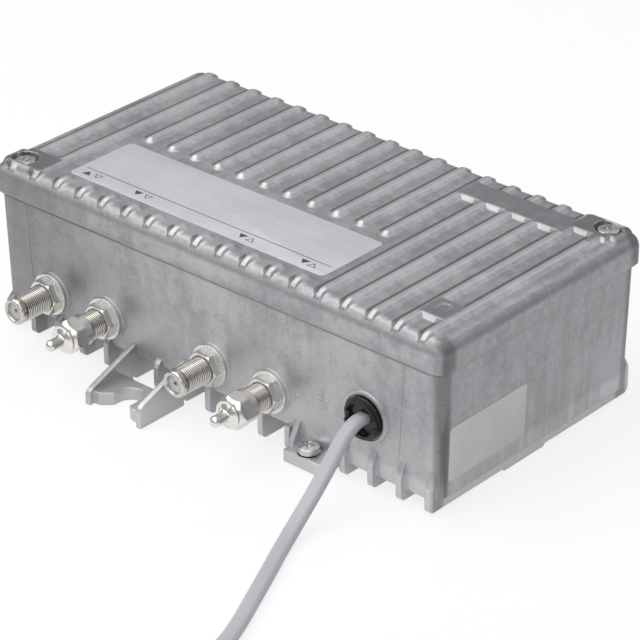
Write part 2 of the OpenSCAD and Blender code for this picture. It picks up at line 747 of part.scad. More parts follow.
module cap_shell(x) {
  front = cap_y - cap_collar - cap_hex;
  color("lightgray") difference() {
    union() {
      bar_y_axis(x, port_z, cap_y, cap_y - cap_collar, cap_af / 2);
      intersection() {
        hex_y_axis(x, port_z, cap_y - cap_collar, front, cap_af);
        translate([x, cap_y - cap_collar, port_z]) rotate([90, 0, 0])
          cylinder(h = cap_hex, r1 = cap_af / 2 + cap_hex * 0.9, r2 = cap_af / 2 - 0.6);
      }
      bar_y_axis(x, port_z, front + eps, front - 0.9, cap_nose_r + 0.9);
      bar_y_axis(x, port_z, front, cap_tip + cap_nose_r, cap_nose_r);
      translate([x, cap_tip + cap_nose_r, port_z]) sphere(r = cap_nose_r);
    }
    bar_y_axis(x, port_z, cap_y + 1, barrel_y - 2.4, port_r + thread_clear);
  }
}

module cap_core(x) {
  color("white") union() {
    bar_y_axis(x, port_z, barrel_y - 2.35, barrel_y - 0.3, port_r - 0.1);
    bar_y_axis(x, port_z, barrel_y - 0.35, barrel_y + 0.9, contact_r * 0.8);
  }
}

module earth_screw() {
  color("lightgray") cross_screw(earth_x, earth_y, earth_z + washer_t, earth_head_r, 2.4, earth_z - fin_z);
}

module earth_washer() {
  color("gray") ring_z(earth_x, earth_y, earth_z, washer_t, earth_washer_r, screw_r + thread_clear);
}

module lead_slot(grow) {
  w = cord_w + 2 * grow;
  t = cord_t + 2 * grow;
  square([w - t, t], center = true);
  for (s = [-1, 1]) translate([s * (w - t) / 2, 0]) circle(t / 2);
}

module strain_relief() {
  seat = bush_seat_y;
  color("black") difference() {
    union() {
      bar_y_axis(bush_x, bush_z, seat, seat - bush_t * 0.55, bush_r);
      bar_y_axis(bush_x, bush_z, seat - bush_t * 0.55, seat - bush_t, bush_r - 0.7);
      bar_y_axis(bush_x, bush_z, seat - eps, seat + bush_len, bush_hole_r - bush_clear);
      bar_y_axis(bush_x, bush_z, seat + wall + 0.7, seat + wall + 2, bush_hole_r + 0.5);
    }
    translate([bush_x, 0, bush_z]) along_y(housing_d * 2) lead_slot(cord_clear);
    for (s = [-1, 1]) translate([bush_x + s * bush_r, seat - bush_t, bush_z])
      cube([5, 1.2, 3], center = true);
  }
}

// Sweeps a section along points [x, y, z, roll], the section's width level where roll is 0
function unit(v) = v / norm(v);
function xyz(p) = [p[0], p[1], p[2]];
function heading(r, i) = unit(xyz(r[min(i + 1, len(r) - 1)]) - xyz(r[max(i - 1, 0)]));
function level(t) = unit(cross(t, [0, 0, 1]));
function ring(p, t, sec) = let (s = level(t), n = cross(s, t), a = p[3])
  [for (q = sec) xyz(p) + (q[0] * cos(a) - q[1] * sin(a)) * s + (q[0] * sin(a) + q[1] * cos(a)) * n];
function catmull(a, b, c, d, t) = 0.5 * (2 * b + (c - a) * t + (2 * a - 5 * b + 4 * c - d) * t * t
  + (3 * b - a - 3 * c + d) * t * t * t);
function smooth(r, n) = [for (i = [0:len(r) - 2]) for (k = [0:n - 1])
  catmull(r[max(i - 1, 0)], r[i], r[i + 1], r[min(i + 2, len(r) - 1)], k / n), r[len(r) - 1]];
function flat_section(w, t) = [for (k = [0:9]) let (a = 36 * k + 18)
  [w / 2 * sign(cos(a)) * pow(abs(cos(a)), 0.75), t / 2 * sign(sin(a)) * pow(abs(sin(a)), 0.75)]];
function round_section(r, n) = [for (k = [0:n - 1]) [r * cos(360 * k / n), r * sin(360 * k / n)]];

module tube(r, sec) {
  m = len(sec);
  last = len(r) - 1;
  pts = [for (i = [0:last]) each ring(r[i], heading(r, i), sec)];
  sides = [for (i = [0:last - 1]) for (k = [0:m - 1]) let (a = i * m + k, b = i * m + (k + 1) % m)
    each [[a, b, b + m], [a, b + m, a + m]]];
  caps = [for (k = [1:m - 2]) each [[0, k + 1, k], [last * m, last * m + k, last * m + k + 1]]];
  polyhedron(points = pts, faces = concat(sides, caps), convexity = 6);
}

// Radius and height along the coil: in on the lower layer, up in the half turn, out on the upper layer
function coil_u(t) = t - coil_turns;
function coil_r(t) = t <= coil_turns ? coil_out - coil_step * t
  : t < coil_turns + 0.5 ? coil_in - 2 * coil_step * (coil_u(t) - 2 * coil_u(t) * coil_u(t))
  : coil_in + coil_step * (t - coil_turns - 0.5);
function ease(s) = s <= 0 ? 0 : s >= 1 ? 1 : s * s * (3 - 2 * s);
function coil_h(t) = coil_z + coil_layer * ease((coil_u(t) - 0.12) / 0.26);
coil_all = coil_turns + 0.5 + coil_back;
coil_rings = coil_all * 24;
coil_loops = [for (i = [0:coil_rings]) let (t = i / 24, a = 180 + 360 * t)
  [coil_c[0] + coil_r(t) * cos(a), coil_c[1] + coil_r(t) * sin(a), coil_h(t), 90]];
coil_last = coil_loops[len(coil_loops) - 1];
// The loops with a straight end of one lead width at each end
coil_route = concat([coil_loops[0] + [0, cord_w, 0, 0]], coil_loops, [coil_last - [0, cord_w, 0, 0]]);
coil_section = [[cord_w / 2, 0.55 * cord_t / 2], [0, cord_t / 2], [-cord_w / 2, 0.55 * cord_t / 2],
  [-cord_w / 2, -0.55 * cord_t / 2], [0, -cord_t / 2], [cord_w / 2, -0.55 * cord_t / 2]];
// Least clear space between turns that lie next to each other, side by side or one above the other
coil_gap = min([for (i = [0:coil_rings]) for (j = [i + 20:coil_rings])
  let (d = coil_loops[i] - coil_loops[j], flat = norm([d[0], d[1]]), up = abs(d[2]))
  max(flat - cord_t, up - cord_w)]);
echo(coil_gap = coil_gap);

module mains_cord() {
  color("gainsboro") tube(smooth(lead_route, 2), flat_section(cord_w, cord_t));
}

module mains_cord_coil() {
  color("gainsboro") tube(coil_route, coil_section);
}

module mains_cord_tail() {
  color("gainsboro") tube(smooth(tail_route, 2), flat_section(cord_w, cord_t));
}

module cord_tie() {
  in_x = coil_c[0] + coil_in - 0.5 * coil_step - cord_t / 2 - 0.5;
  out_x = coil_c[0] + coil_out + cord_t / 2 + 0.3;
  low = coil_z - cord_w / 2 - 0.3;
  high = coil_z + coil_layer + cord_w / 2 + 0.3;
  color("white") translate([0, coil_c[1], 0]) along_y(tie_w) difference() {
    translate([in_x - tie_t, low - tie_t]) square([out_x - in_x + 2 * tie_t, high - low + 2 * tie_t]);
    translate([in_x, low]) square([out_x - in_x, high - low]);
  }
}

// Flat two-pin plug that lies on the floor with its pins along -X
plug_tail = tail_route[len(tail_route) - 1];
module mains_plug() {
  zc = plug_h / 2;
  face = plug_tail[0] - plug_relief - plug_len;
  color("gainsboro") translate([0, plug_tail[1], zc]) difference() {
    union() {
      hull() {
        translate([face, 0, 0]) rotate([0, 90, 0]) linear_extrude(14) rounded_rect(plug_h, plug_w, 4.5);
        translate([face + plug_len - 4, 0, 0]) rotate([0, 90, 0]) linear_extrude(4)
          rounded_rect(plug_h - 1, 15, 4.5);
      }
      hull() {
        translate([face + plug_len - 1, 0, 0]) rotate([0, 90, 0]) linear_extrude(1)
          rounded_rect(plug_h - 3, 12, 4);
        translate([plug_tail[0] - 1, 0, 0]) rotate([0, 90, 0]) linear_extrude(1)
          rounded_rect(cord_t + 2, cord_w + 2, 2.4);
      }
    }
    for (s = [-1, 1]) translate([face - 1, s * pin_pitch / 2, 0]) rotate([0, 90, 0])
      cylinder(h = 9, r = pin_r - 0.1);
  }
}

module plug_pins() {
  face = plug_tail[0] - plug_relief - plug_len;
  color("lightgray") for (s = [-1, 1])
    translate([face - pin_len, plug_tail[1] + s * pin_pitch / 2, plug_h / 2])
    rotate([0, 90, 0]) union() {
      cylinder(h = pin_len, r = pin_r);
      cylinder(h = pin_len + 7.5, r = pin_r - 0.15);
      sphere(r = pin_r);
    }
}

module mains_wires() {
  y0 = bush_seat_y + bush_len + 0.05;
  front = block_y - block_d / 2 - 0.02;
  hole = power_top + block_h / 2;
  color("brown") for (s = [-1, 1]) tube(smooth([[bush_x + s * 1.25, y0, bush_z, 0],
    [bush_x + s * 1.25, y0 + 0.7, bush_z, 0], [bush_x + s * 1.25, y0 + 1.4, bush_z, 0],
    [bush_x + s * 1.3, y0 + 2.7, bush_z - 0.4, 0],
    [bush_x + s * 1.6, y0 + 4.6, bush_z - 2.2, 0], [bush_x + s * 2, y0 + 5.8, bush_z - 4.6, 0],
    [bush_x + s * 2.4, front - 3.2, (bush_z + hole) / 2 - 2.4, 0], [bush_x + s * 2.5, front - 2, hole, 0],
    [bush_x + s * 2.5, front - 1, hole, 0], [bush_x + s * 2.5, front, hole, 0]], 2), round_section(1.1, 8));
}

module board(x0, x1, z, posts, corner) {
  difference() {
    translate([x0, board_y0, z]) cube([x1 - x0, board_y1 - board_y0, board_t]);
    translate([corner[0], corner[1], z - 1]) cylinder(h = board_t + 2, r = post_r + 1);
    translate([corner[0] - (corner[0] < 0 ? 20 : 0), corner[1] - (corner[1] < 0 ? 20 : post_r + 1), z - 1])
      cube([20, 20 + post_r + 1, board_t + 2]);
    translate([corner[0] - (corner[0] < 0 ? 0 : post_r + 1), corner[1] - (corner[1] < 0 ? 20 : 0), z - 1])
      cube([post_r + 1, 20, board_t + 2]);
    for (p = posts) translate([p[0], p[1], z - 1]) cylinder(h = board_t + 2, r = 1.45);
  }
}

module signal_board() {
  color("green") board(signal_x0, signal_x1, signal_z, signal_posts, [-screw_x, -screw_y]);
}

module power_board() {
  color("darkgreen") board(power_x0, power_x1, power_z, power_posts, [screw_x, screw_y]);
}

module board_screws() {
  color("lightgray") {
    for (p = signal_posts) board_screw(p, signal_top);
    for (p = power_posts) board_screw(p, power_top);
  }
}

module board_screw(p, z) {
  translate([p[0], p[1], z]) union() {
    cylinder(h = 1.7, r = 2.5);
    translate([0, 0, -board_screw_len]) cylinder(h = board_screw_len + eps, r = 1.25);
  }
}

module shield_frame() {
  w = shield_x1 - shield_x0;
  d = shield_y1 - shield_y0;
  color("lightgray") translate([0, 0, signal_top]) linear_extrude(shield_h) {
    difference() {
      translate([shield_x0, shield_y0]) square([w, d]);
      translate([shield_x0 + shield_t, shield_y0 + shield_t]) square([w - 2 * shield_t, d - 2 * shield_t]);
    }
    translate([shield_mid_x - shield_t / 2, shield_y0]) square([shield_t, d]);
    translate([shield_x0, shield_mid_y]) square([w, shield_t]);
  }
}

module filter_cans() {
  y = (shield_y0 + shield_mid_y) / 2;
  color("silver") for (c = cell_x, s = [-1, 1]) difference() {
    translate([c + s * can_gap - can_w / 2, y - can_w / 2, signal_top]) cube([can_w, can_w, can_h]);
    translate([c + s * can_gap, y, signal_top + can_h - can_hole]) cylinder(h = can_hole + 2, r = can_w / 4);
  }
}

module amplifier_chips() {
  y = (shield_mid_y + shield_y1) / 2;
  color("black") for (x = cell_x) {
    translate([x - chip_w / 2 + chip_ear, y - chip_d / 2, signal_top])
      cube([chip_w - 2 * chip_ear, chip_d, chip_h]);
    translate([x - chip_w / 2, y - chip_d / 2 + 1.5, signal_top]) cube([chip_w, chip_d - 3, 1.4]);
  }
}

module trimmer_cases() {
  color("royalblue") for (x = port_x) difference() {
    translate([x - trimmer_w / 2, trimmer_y - trimmer_w / 2, signal_top])
      cube([trimmer_w, trimmer_w, trimmer_h]);
    translate([x, trimmer_y, signal_top + trimmer_h - 2]) cylinder(h = 3, r = trimmer_r + 0.05);
  }
}

module trimmer_rotor(i) {
  color("white") translate([port_x[i], trimmer_y, signal_top + trimmer_h - 2]) difference() {
    cylinder(h = 2.6, r = trimmer_r);
    translate([-trimmer_r - 1, -0.35, 1.6]) cube([2 * trimmer_r + 2, 0.7, 2]);
  }
}

module terminal_block() {
  color("seagreen") difference() {
    translate([bush_x - block_w / 2, block_y - block_d / 2, power_top]) cube([block_w, block_d, block_h]);
    for (s = [-1, 1]) translate([bush_x + s * 2.5, block_y, power_top + block_h - 3])
      cylinder(h = 4, r = 1.6);
  }
}

module fuse() {
  y0 = board_y0 + 20;
  color("lightgray") translate([power_x1 - 9, 0, power_top]) {
    bar_y_axis(0, 4.4, y0, y0 + fuse_len, 2.6);
    for (y = [y0 + 1.5, y0 + fuse_len - 1.5]) translate([-3.4, y - 2, 0]) difference() {
      cube([6.8, 4, 5]);
      translate([3.4, 5, 4.4]) rotate([90, 0, 0]) cylinder(h = 6, r = 2.6);
    }
  }
}

module mains_capacitor() {
  color("gold") translate([power_x0 + 5, board_y0 + 13, power_top]) cube([13, 6, 12]);
}

module choke() {
  color("orangered") translate([power_x0 + choke_end, board_y0 + 29, power_top]) difference() {
    cylinder(h = 9, r = choke_r);
    translate([0, 0, -1]) cylinder(h = 11, r = choke_r - 4.2);
  }
}

module bulk_capacitor() {
  color("black") translate([power_x1 - bulk_end, board_y1 - bulk_in, power_top]) union() {
    cylinder(h = bulk_h, r = bulk_r - 0.2);
    translate([0, 0, 1.5]) cylinder(h = bulk_h - 3, r = bulk_r);
  }
}

module transformer() {
  color("dimgray") translate([power_x0 + transformer_end, board_y1 - transformer_in, power_top]) union() {
    translate([-11, -8, 0]) cube([22, 16, 3]);
    translate([-10, -3.5, 2]) cube([20, 7, transformer_h - 2]);
    translate([0, 0, 3]) cylinder(h = transformer_h - 5, r = 7);
  }
}

module smoothing_capacitors() {
  color("navy") for (i = [0:2]) translate([power_x0 + 9 + 11 * i, board_y1 - 14, power_top])
    cylinder(h = smoothing_h, r = 4);
}

module power_transistor() {
  color("black") translate([power_x1 - 19.5, board_y0 + 31, power_top]) union() {
    translate([-5, 0, 3]) cube([10, 4.4, 9]);
    translate([-5, 3.1, 3]) cube([10, 1.3, 15]);
    for (x = [-2.5, 0, 2.5]) translate([x - 0.4, 1.6, 0]) cube([0.8, 0.6, 3.5]);
  }
}

// Moves the object so that the middle of its outline stands on the origin
module place() {
  translate([0, frame_y, 0]) children();
}

place() housing();
place() wall_lug_front();
place() wall_lug_rear();
place() lid();
place() lid_gasket();
place() lid_screw(-1);  // lid_screw_front
place() lid_screw(1);  // lid_screw_rear
place() lid_washer(-1);  // lid_washer_front
place() lid_washer(1);  // lid_washer_rear
place() f_socket(port_x[0]);  // f_socket_1
place() f_socket(port_x[1]);  // f_socket_2
place() f_socket(port_x[2]);  // f_socket_3
place() f_socket(port_x[3]);  // f_socket_4
place() f_nut(port_x[0]);  // f_nut_1
place() f_nut(port_x[1]);  // f_nut_2
place() f_nut(port_x[2]);  // f_nut_3
place() f_nut(port_x[3]);  // f_nut_4
place() f_washer(port_x[0]);  // f_washer_1
place() f_washer(port_x[1]);  // f_washer_2
place() f_washer(port_x[2]);  // f_washer_3
place() f_washer(port_x[3]);  // f_washer_4
place() f_insulators();
place() f_contact(port_x[0]);  // f_contact_1
place() f_contact(port_x[1]);  // f_contact_2
place() f_contact(port_x[2]);  // f_contact_3
place() f_contact(port_x[3]);  // f_contact_4
place() cap_shell(port_x[1]);  // cap_shell_2
place() cap_shell(port_x[3]);  // cap_shell_4
place() cap_core(port_x[1]);  // cap_core_2
place() cap_core(port_x[3]);  // cap_core_4
place() earth_screw();
place() earth_washer();
place() strain_relief();
place() mains_cord();
place() mains_cord_coil();
place() mains_cord_tail();
place() cord_tie();
place() mains_plug();
place() plug_pins();
place() mains_wires();
place() signal_board();
place() power_board();
place() board_screws();
place() shield_frame();
place() filter_cans();
place() amplifier_chips();
place() trimmer_cases();
place() trimmer_rotor(0);  // trimmer_rotor_1
place() trimmer_rotor(1);  // trimmer_rotor_2
place() trimmer_rotor(2);  // trimmer_rotor_3
place() trimmer_rotor(3);  // trimmer_rotor_4
place() terminal_block();
place() fuse();
place() mains_capacitor();
place() choke();
place() bulk_capacitor();
place() transformer();
place() smoothing_capacitors();
place() power_transistor();
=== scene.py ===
import math
import bpy
import numpy as np
from mathutils import Matrix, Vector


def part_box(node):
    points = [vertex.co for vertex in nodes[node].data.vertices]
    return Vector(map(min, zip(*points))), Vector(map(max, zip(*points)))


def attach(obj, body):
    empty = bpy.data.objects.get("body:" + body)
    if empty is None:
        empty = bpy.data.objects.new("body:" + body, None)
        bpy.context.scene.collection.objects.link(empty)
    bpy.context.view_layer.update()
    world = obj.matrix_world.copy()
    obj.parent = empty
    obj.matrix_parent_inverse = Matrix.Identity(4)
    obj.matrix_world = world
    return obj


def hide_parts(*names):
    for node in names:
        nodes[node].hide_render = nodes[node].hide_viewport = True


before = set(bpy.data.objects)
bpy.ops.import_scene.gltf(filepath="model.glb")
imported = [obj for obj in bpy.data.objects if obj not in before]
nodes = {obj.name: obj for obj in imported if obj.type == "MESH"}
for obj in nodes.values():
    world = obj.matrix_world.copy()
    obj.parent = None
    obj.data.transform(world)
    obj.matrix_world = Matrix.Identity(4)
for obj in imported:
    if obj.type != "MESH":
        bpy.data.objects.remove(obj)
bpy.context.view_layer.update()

# Camera and studio.
# A long lens stands to the right front, well above the box. A pale floor and a pale backdrop surround
# it, with one large soft lamp overhead to the left and weaker ones behind it and beside the camera.
MM = 0.001
SHIFT_Y = 6.8
AZIMUTH, ELEVATION, ROLL = 41.778, 28.830, -0.344
EYE_OFFSET = np.array([2.847, 12.159, 1066.592])
AIM = np.array([0, 0, 0.9])
LENS_PIXELS, PICTURE_PIXELS = 3144.808, 640
SENSOR = 36
FLOOR_REACH, FLOOR_LINES, FLOOR_Z = 3, 7, -0.0002


def place(x, y, z):
    """A point given in millimetres from the middle of the housing, in the frame's metres."""
    x, y, z = np.broadcast_arrays(*(np.asarray(part, float) for part in (x, y, z)))
    return np.stack([x, y + SHIFT_Y, z], -1) * MM


def placed(grid):
    """All points of a grid in millimetres, as place() puts them."""
    return place(*grid.reshape(-1, 3).T)


def level_axes(back):
    """Right, up and back of something whose back points this way, with right kept level."""
    back = back / np.linalg.norm(back)
    right = np.cross([0, 0, 1], back)
    right = right / np.linalg.norm(right)
    return np.array([right, np.cross(back, right), back])


def view_axes(azimuth, elevation, roll):
    """Right, up and back of a camera: two angles aim back at the eye, and the roll turns right and up."""
    a, e, r = np.radians([azimuth, elevation, roll])
    right, up, back = level_axes(np.array([np.sin(a) * np.cos(e), -np.cos(a) * np.cos(e), np.sin(e)]))
    return np.array([np.cos(r) * right + np.sin(r) * up, -np.sin(r) * right + np.cos(r) * up, back])


def stand(axes, at):
    """The matrix that puts a camera or a lamp at a point, turned to its axes."""
    turn = np.eye(4)
    turn[:3, :3] = axes.T
    turn[:3, 3] = at
    return Matrix(turn.tolist())


axes = view_axes(AZIMUTH, ELEVATION, ROLL)
camera = bpy.data.objects.new("camera", bpy.data.cameras.new("camera"))
bpy.context.scene.collection.objects.link(camera)
camera.data.sensor_width = SENSOR
camera.data.lens = LENS_PIXELS * SENSOR / PICTURE_PIXELS
camera.data.clip_start = 0.05
camera.data.clip_end = 20
camera.matrix_world = stand(axes, place(*(axes.T @ EYE_OFFSET + AIM)))
bpy.context.scene.camera = camera
bpy.context.scene.view_settings.view_transform = "Standard"


class Wire:
    """A socket in a node tree. Arithmetic on it adds Math nodes, and node() adds any other kind."""

    def __init__(self, tree, socket=None):
        self.tree = tree
        self.socket = socket

    def node(self, kind, settings=None, inputs=None, out=0):
        """Adds a node: settings first, then values or wires on its sockets. Gives one of its outputs."""
        made = self.tree.nodes.new(kind)
        for name, value in (settings or {}).items():
            setattr(made, name, value)
        for name, value in (inputs or {}).items():
            if isinstance(value, Wire):
                self.tree.links.new(value.socket, made.inputs[name])
            else:
                made.inputs[name].default_value = value
        return Wire(self.tree, made.outputs[out] if len(made.outputs) else None)

    def math(self, operation, other=0.0, third=0.0):
        """A Math node on this value and on one or two more, where the operation takes them."""
        return self.node("ShaderNodeMath", {"operation": operation}, {0: self, 1: other, 2: third})

    def __add__(self, other):
        return self.math("ADD", other)

    __radd__ = __add__

    def __mul__(self, other):
        return self.math("MULTIPLY", other)

    __rmul__ = __mul__

    def __sub__(self, other):
        return self.math("SUBTRACT", other)

    def __rsub__(self, other):
        return self.node("ShaderNodeMath", {"operation": "SUBTRACT"}, {0: other, 1: self})

    def __abs__(self):
        return self.math("ABSOLUTE")

    def step(self, low, high):
        """0 below low, 1 above high, smooth between; the ends may be given the other way round."""
        return self.node("ShaderNodeMapRange", {"interpolation_type": "SMOOTHSTEP"},
                         {"Value": self, "From Min": low, "From Max": high})

    def band(self, low, full, fade, high):
        """0 below low, 1 from full to fade, 0 above high, smooth between."""
        return self.step(low, full) * self.step(high, fade)

    def axis(self, letter):
        """One of the three coordinates, by its letter."""
        return self.node("ShaderNodeSeparateXYZ", None, {0: self}, "XYZ".index(letter))

    def noise(self, scale, detail=3.0, rough=0.5, stretch=None):
        """Noise over these coordinates, stretched along an axis where stretch gives factors."""
        at = self
        if stretch is not None:
            at = self.node("ShaderNodeVectorMath", {"operation": "MULTIPLY"}, {0: self, 1: stretch})
        sockets = {"Vector": at, "Scale": scale, "Detail": detail, "Roughness": rough}
        return self.node("ShaderNodeTexNoise", None, sockets)

    def tint(self, low, high):
        """A colour from low at 0 to high at 1; low and high are colours or wires."""
        sockets = {"Factor": self, 6: wide(low), 7: wide(high)}
        return self.node("ShaderNodeMix", {"data_type": "RGBA"}, sockets, 2)

    def bump(self, depth, strength=1.0, normal=None):
        """A normal from this as a height of depth metres, laid over another normal where one is given."""
        sockets = {"Height": self, "Distance": depth, "Strength": strength}
        if normal is not None:
            sockets["Normal"] = normal
        return self.node("ShaderNodeBump", None, sockets)


def wide(colour):
    """A colour with full alpha, as a socket takes it; a wire stays as it is."""
    return colour if isinstance(colour, Wire) else (*colour, 1.0)


world = bpy.data.worlds.new("studio")
bpy.context.scene.world = world
world.use_nodes = True
world.node_tree.nodes.clear()
air = Wire(world.node_tree)
seen = air.node("ShaderNodeLightPath", None, None, "Is Camera Ray")
gloss = air.node("ShaderNodeLightPath", None, None, "Is Glossy Ray")
through = air.node("ShaderNodeLightPath", None, None, "Is Transmission Ray")
way = air.node("ShaderNodeTexCoord", None, None, "Generated")
rise = way.axis("Z").step(0.05, 0.9)
room = rise.tint((0.34, 0.34, 0.355), (0.45, 0.45, 0.46))
backdrop = seen.tint(room, (1.0, 1.0, 1.0))
pale = (seen + gloss + through).math("MINIMUM", 1.0)
light = air.node("ShaderNodeBackground", None, {"Color": (0.95, 0.96, 1.0, 1), "Strength": 0.38})
show = air.node("ShaderNodeBackground", None, {"Color": backdrop, "Strength": 1.0})
both = air.node("ShaderNodeMixShader", None, {0: pale, 1: light, 2: show})
air.node("ShaderNodeOutputWorld", None, {"Surface": both})


def new_finish(name, **constants):
    """A material with one Principled shader, whose sockets the constants set.

    Gives the material, a wire of its Object coordinates and the shader."""
    made = bpy.data.materials.new(name)
    made.use_nodes = True
    tree = made.node_tree
    shader = tree.nodes["Principled BSDF"]
    for socket, value in constants.items():
        shader.inputs[socket.replace("_", " ")].default_value = value
    here = Wire(tree).node("ShaderNodeTexCoord", None, None, "Object")
    return made, here, shader


def feed(shader, **wires):
    """Links wires to a shader's sockets; an underscore in a name stands for a space."""
    for socket, wire in wires.items():
        wire.tree.links.new(wire.socket, shader.inputs[socket.replace("_", " ")])


def link_mesh(name, points, faces, sharp=None):
    """A smooth mesh object from points and faces; an edge bent by more than sharp degrees stays crisp."""
    mesh = bpy.data.meshes.new(name)
    mesh.from_pydata(points.tolist(), [], faces)
    mesh.validate()
    mesh.polygons.foreach_set("use_smooth", np.full(len(mesh.polygons), True))
    if sharp is not None:
        mesh.set_sharp_from_angle(angle=math.radians(sharp))
    made = bpy.data.objects.new(name, mesh)
    bpy.context.scene.collection.objects.link(made)
    return made


def grid_faces(rows, columns, wrap=False, start=0, close=False):
    """Quads between neighbouring rows and columns of a grid whose points are numbered from start.

    wrap joins the last column to the first, and close joins the last row to the first."""
    last = columns if wrap else columns - 1
    r, c = np.meshgrid(np.arange(rows if close else rows - 1), np.arange(last), indexing="ij")
    d = (c + 1) % columns
    s = (r + 1) % rows
    quads = np.stack([r * columns + c, r * columns + d, s * columns + d, s * columns + c], -1)
    return (quads.reshape(-1, 4) + start).tolist()


floor_finish, here, shader = new_finish("pale_floor", Roughness=0.9)
grain = here.noise(60.0, 2.0)
feed(shader, Base_Color=grain.tint((0.86, 0.86, 0.87), (0.89, 0.89, 0.89)))
tree = floor_finish.node_tree
base = Wire(tree)
seen = base.node("ShaderNodeLightPath", None, None, "Is Camera Ray")
gloss = base.node("ShaderNodeLightPath", None, None, "Is Glossy Ray")
glow = base.node("ShaderNodeEmission", None, {"Color": (1, 1, 1, 1), "Strength": 1.0})
share = (seen * 0.80 + gloss * 0.38).math("MINIMUM", 1.0)
both = base.node("ShaderNodeMixShader", None, {0: share, 1: Wire(tree, shader.outputs[0]), 2: glow})
tree.links.new(both.socket, tree.nodes["Material Output"].inputs["Surface"])
line = np.linspace(-FLOOR_REACH, FLOOR_REACH, FLOOR_LINES)
u, v = np.meshgrid(line, line, indexing="ij")
points = np.stack([u, v, np.full_like(u, FLOOR_Z)], -1).reshape(-1, 3)
floor = link_mesh("floor", points, [f[::-1] for f in grid_faces(FLOOR_LINES, FLOOR_LINES)])
floor.data.materials.append(floor_finish)


def lamp(name, at, aim, size, power, colour):
    """A square soft lamp at a point in millimetres, turned to look at another."""
    made = bpy.data.objects.new(name, bpy.data.lights.new(name, "AREA"))
    made.data.size = size
    made.data.energy = power
    made.data.color = colour
    made.matrix_world = stand(level_axes(place(*at) - place(*aim)), place(*at))
    bpy.context.scene.collection.objects.link(made)


lamp("key_lamp", (-300, -360, 900), (0, -80, 0), 1.2, 10.5, (1.0, 0.995, 0.98))
lamp("back_lamp", (380, 800, 840), (0, 0, 50), 0.9, 1.9, (0.97, 0.98, 1.0))
lamp("side_lamp", (650, -930, 800), (0, -40, 30), 0.9, 3.2, (0.98, 0.985, 1.0))

# Mains lead.
# A flat two-core lead with a pale grey soft jacket. It leaves the bush, drops to the floor, and its
# spare length is wound on edge in two layers and strapped, with the plug lying beside the coil.
CORD_W, CORD_T = 5.4, 3.4
SECTION_POINTS = 28
TURNS_IN, TURNS_OUT, TURN_POINTS = 4, 3.5, 40
COIL_X, COIL_Y = 141, -191.5
COIL_INNER, COIL_STEP = 22.5, 4.4
COIL_LOW, COIL_LAYER = 3.7, 6.0
lead_route = np.array([
    (67.2, -50, 25.2, 0), (67.2, -55, 25, 0), (67.5, -60.5, 22.6, 0), (67.7, -65, 18.6, 0),
    (68, -69, 15, 0), (68.3, -73, 11.8, 0), (68.7, -77.5, 8.5, 0), (69.4, -82.5, 5.6, 0),
    (70.7, -88, 3.4, 0), (72.8, -94, 2.2, 0), (75.8, -101, 1.8, 0), (79.4, -108.5, 1.8, 0),
    (86.3, -123.4, 1.8, 0), (92, -136, 1.8, 0), (96.4, -148, 2.1, 15), (99.2, -160, 2.6, 45),
    (100.6, -171, 3.3, 75), (100.9, -180, 3.7, 90), (100.9, -183, 3.7, 90), (100.9, -186.1, 3.7, 90)])
tail_route = np.array([
    (103.1, -196.9, 9.7, 90), (103.1, -198.6, 9.7, 90), (103.1, -200.4, 9.7, 90), (102.6, -207, 9.6, 88),
    (100.6, -214, 8.9, 70), (96.6, -221, 7.8, 45), (90.6, -226.6, 6.9, 20), (84, -230, 6.6, 5),
    (78, -231, 6.8, 0), (73, -231, 6.8, 0), (68, -231, 6.8, 0)])


def ease(t):
    """0 below 0, 1 above 1, and the cubic 3t2 - 2t3 between."""
    t = np.clip(t, 0, 1)
    return t * t * (3 - 2 * t)


def smooth_route(route, count):
    """A smooth curve through the route's points, count steps to each span.

    A span is the cubic whose slope at a point is half the way from the point before to the one after."""
    ends = np.vstack([route[:1], route, route[-1:]])
    a, b, c, d = (ends[k:len(ends) - 3 + k, None, :] for k in range(4))
    t = (np.arange(count) / count)[None, :, None]
    square = 2 * a - 5 * b + 4 * c - d
    cube = 3 * b - a - 3 * c + d
    curve = 0.5 * (2 * b + (c - a) * t + square * t ** 2 + cube * t ** 3)
    return np.vstack([curve.reshape(-1, route.shape[1]), route[-1:]])


def coil_route():
    """Spirals in on the lower layer, climbs in the half turn at the middle, spirals out on the upper layer.

    The radius changes by one step to a turn and dips by a quarter of it in the half turn, where the
    height eases from layer to layer."""
    t = np.arange(int((TURNS_IN + 0.5 + TURNS_OUT) * TURN_POINTS) + 1) / TURN_POINTS
    u = t - TURNS_IN
    dip = COIL_INNER - 2 * COIL_STEP * (u - 2 * u * u)
    outwards = np.where(u < 0.5, dip, COIL_INNER + COIL_STEP * (u - 0.5))
    radius = np.where(u <= 0, COIL_INNER - COIL_STEP * u, outwards)
    angle = np.pi + 2 * np.pi * t
    height = COIL_LOW + COIL_LAYER * ease((u - 0.12) / 0.26)
    x, y = COIL_X + radius * np.cos(angle), COIL_Y + radius * np.sin(angle)
    return np.stack([x, y, height, 0 * t + 90], -1)


def sweep(path, section, above=(0, 0, 1)):
    """Carries a section along a path of x, y, z and roll.

    Its width lies square to the path and to above, its height square to both, and the roll turns them."""
    line = path[:, :3]
    ahead = np.gradient(line, axis=0)
    ahead = ahead / np.linalg.norm(ahead, axis=1, keepdims=True)
    side = np.cross(ahead, above)
    side = side / np.linalg.norm(side, axis=1, keepdims=True)
    up = np.cross(side, ahead)
    roll = np.radians(path[:, 3])[:, None, None]
    c, s = np.cos(roll), np.sin(roll)
    w, h = section[None, :, :1], section[None, :, 1:]
    return line[:, None, :] + (w * c - h * s) * side[:, None, :] + (w * s + h * c) * up[:, None, :]


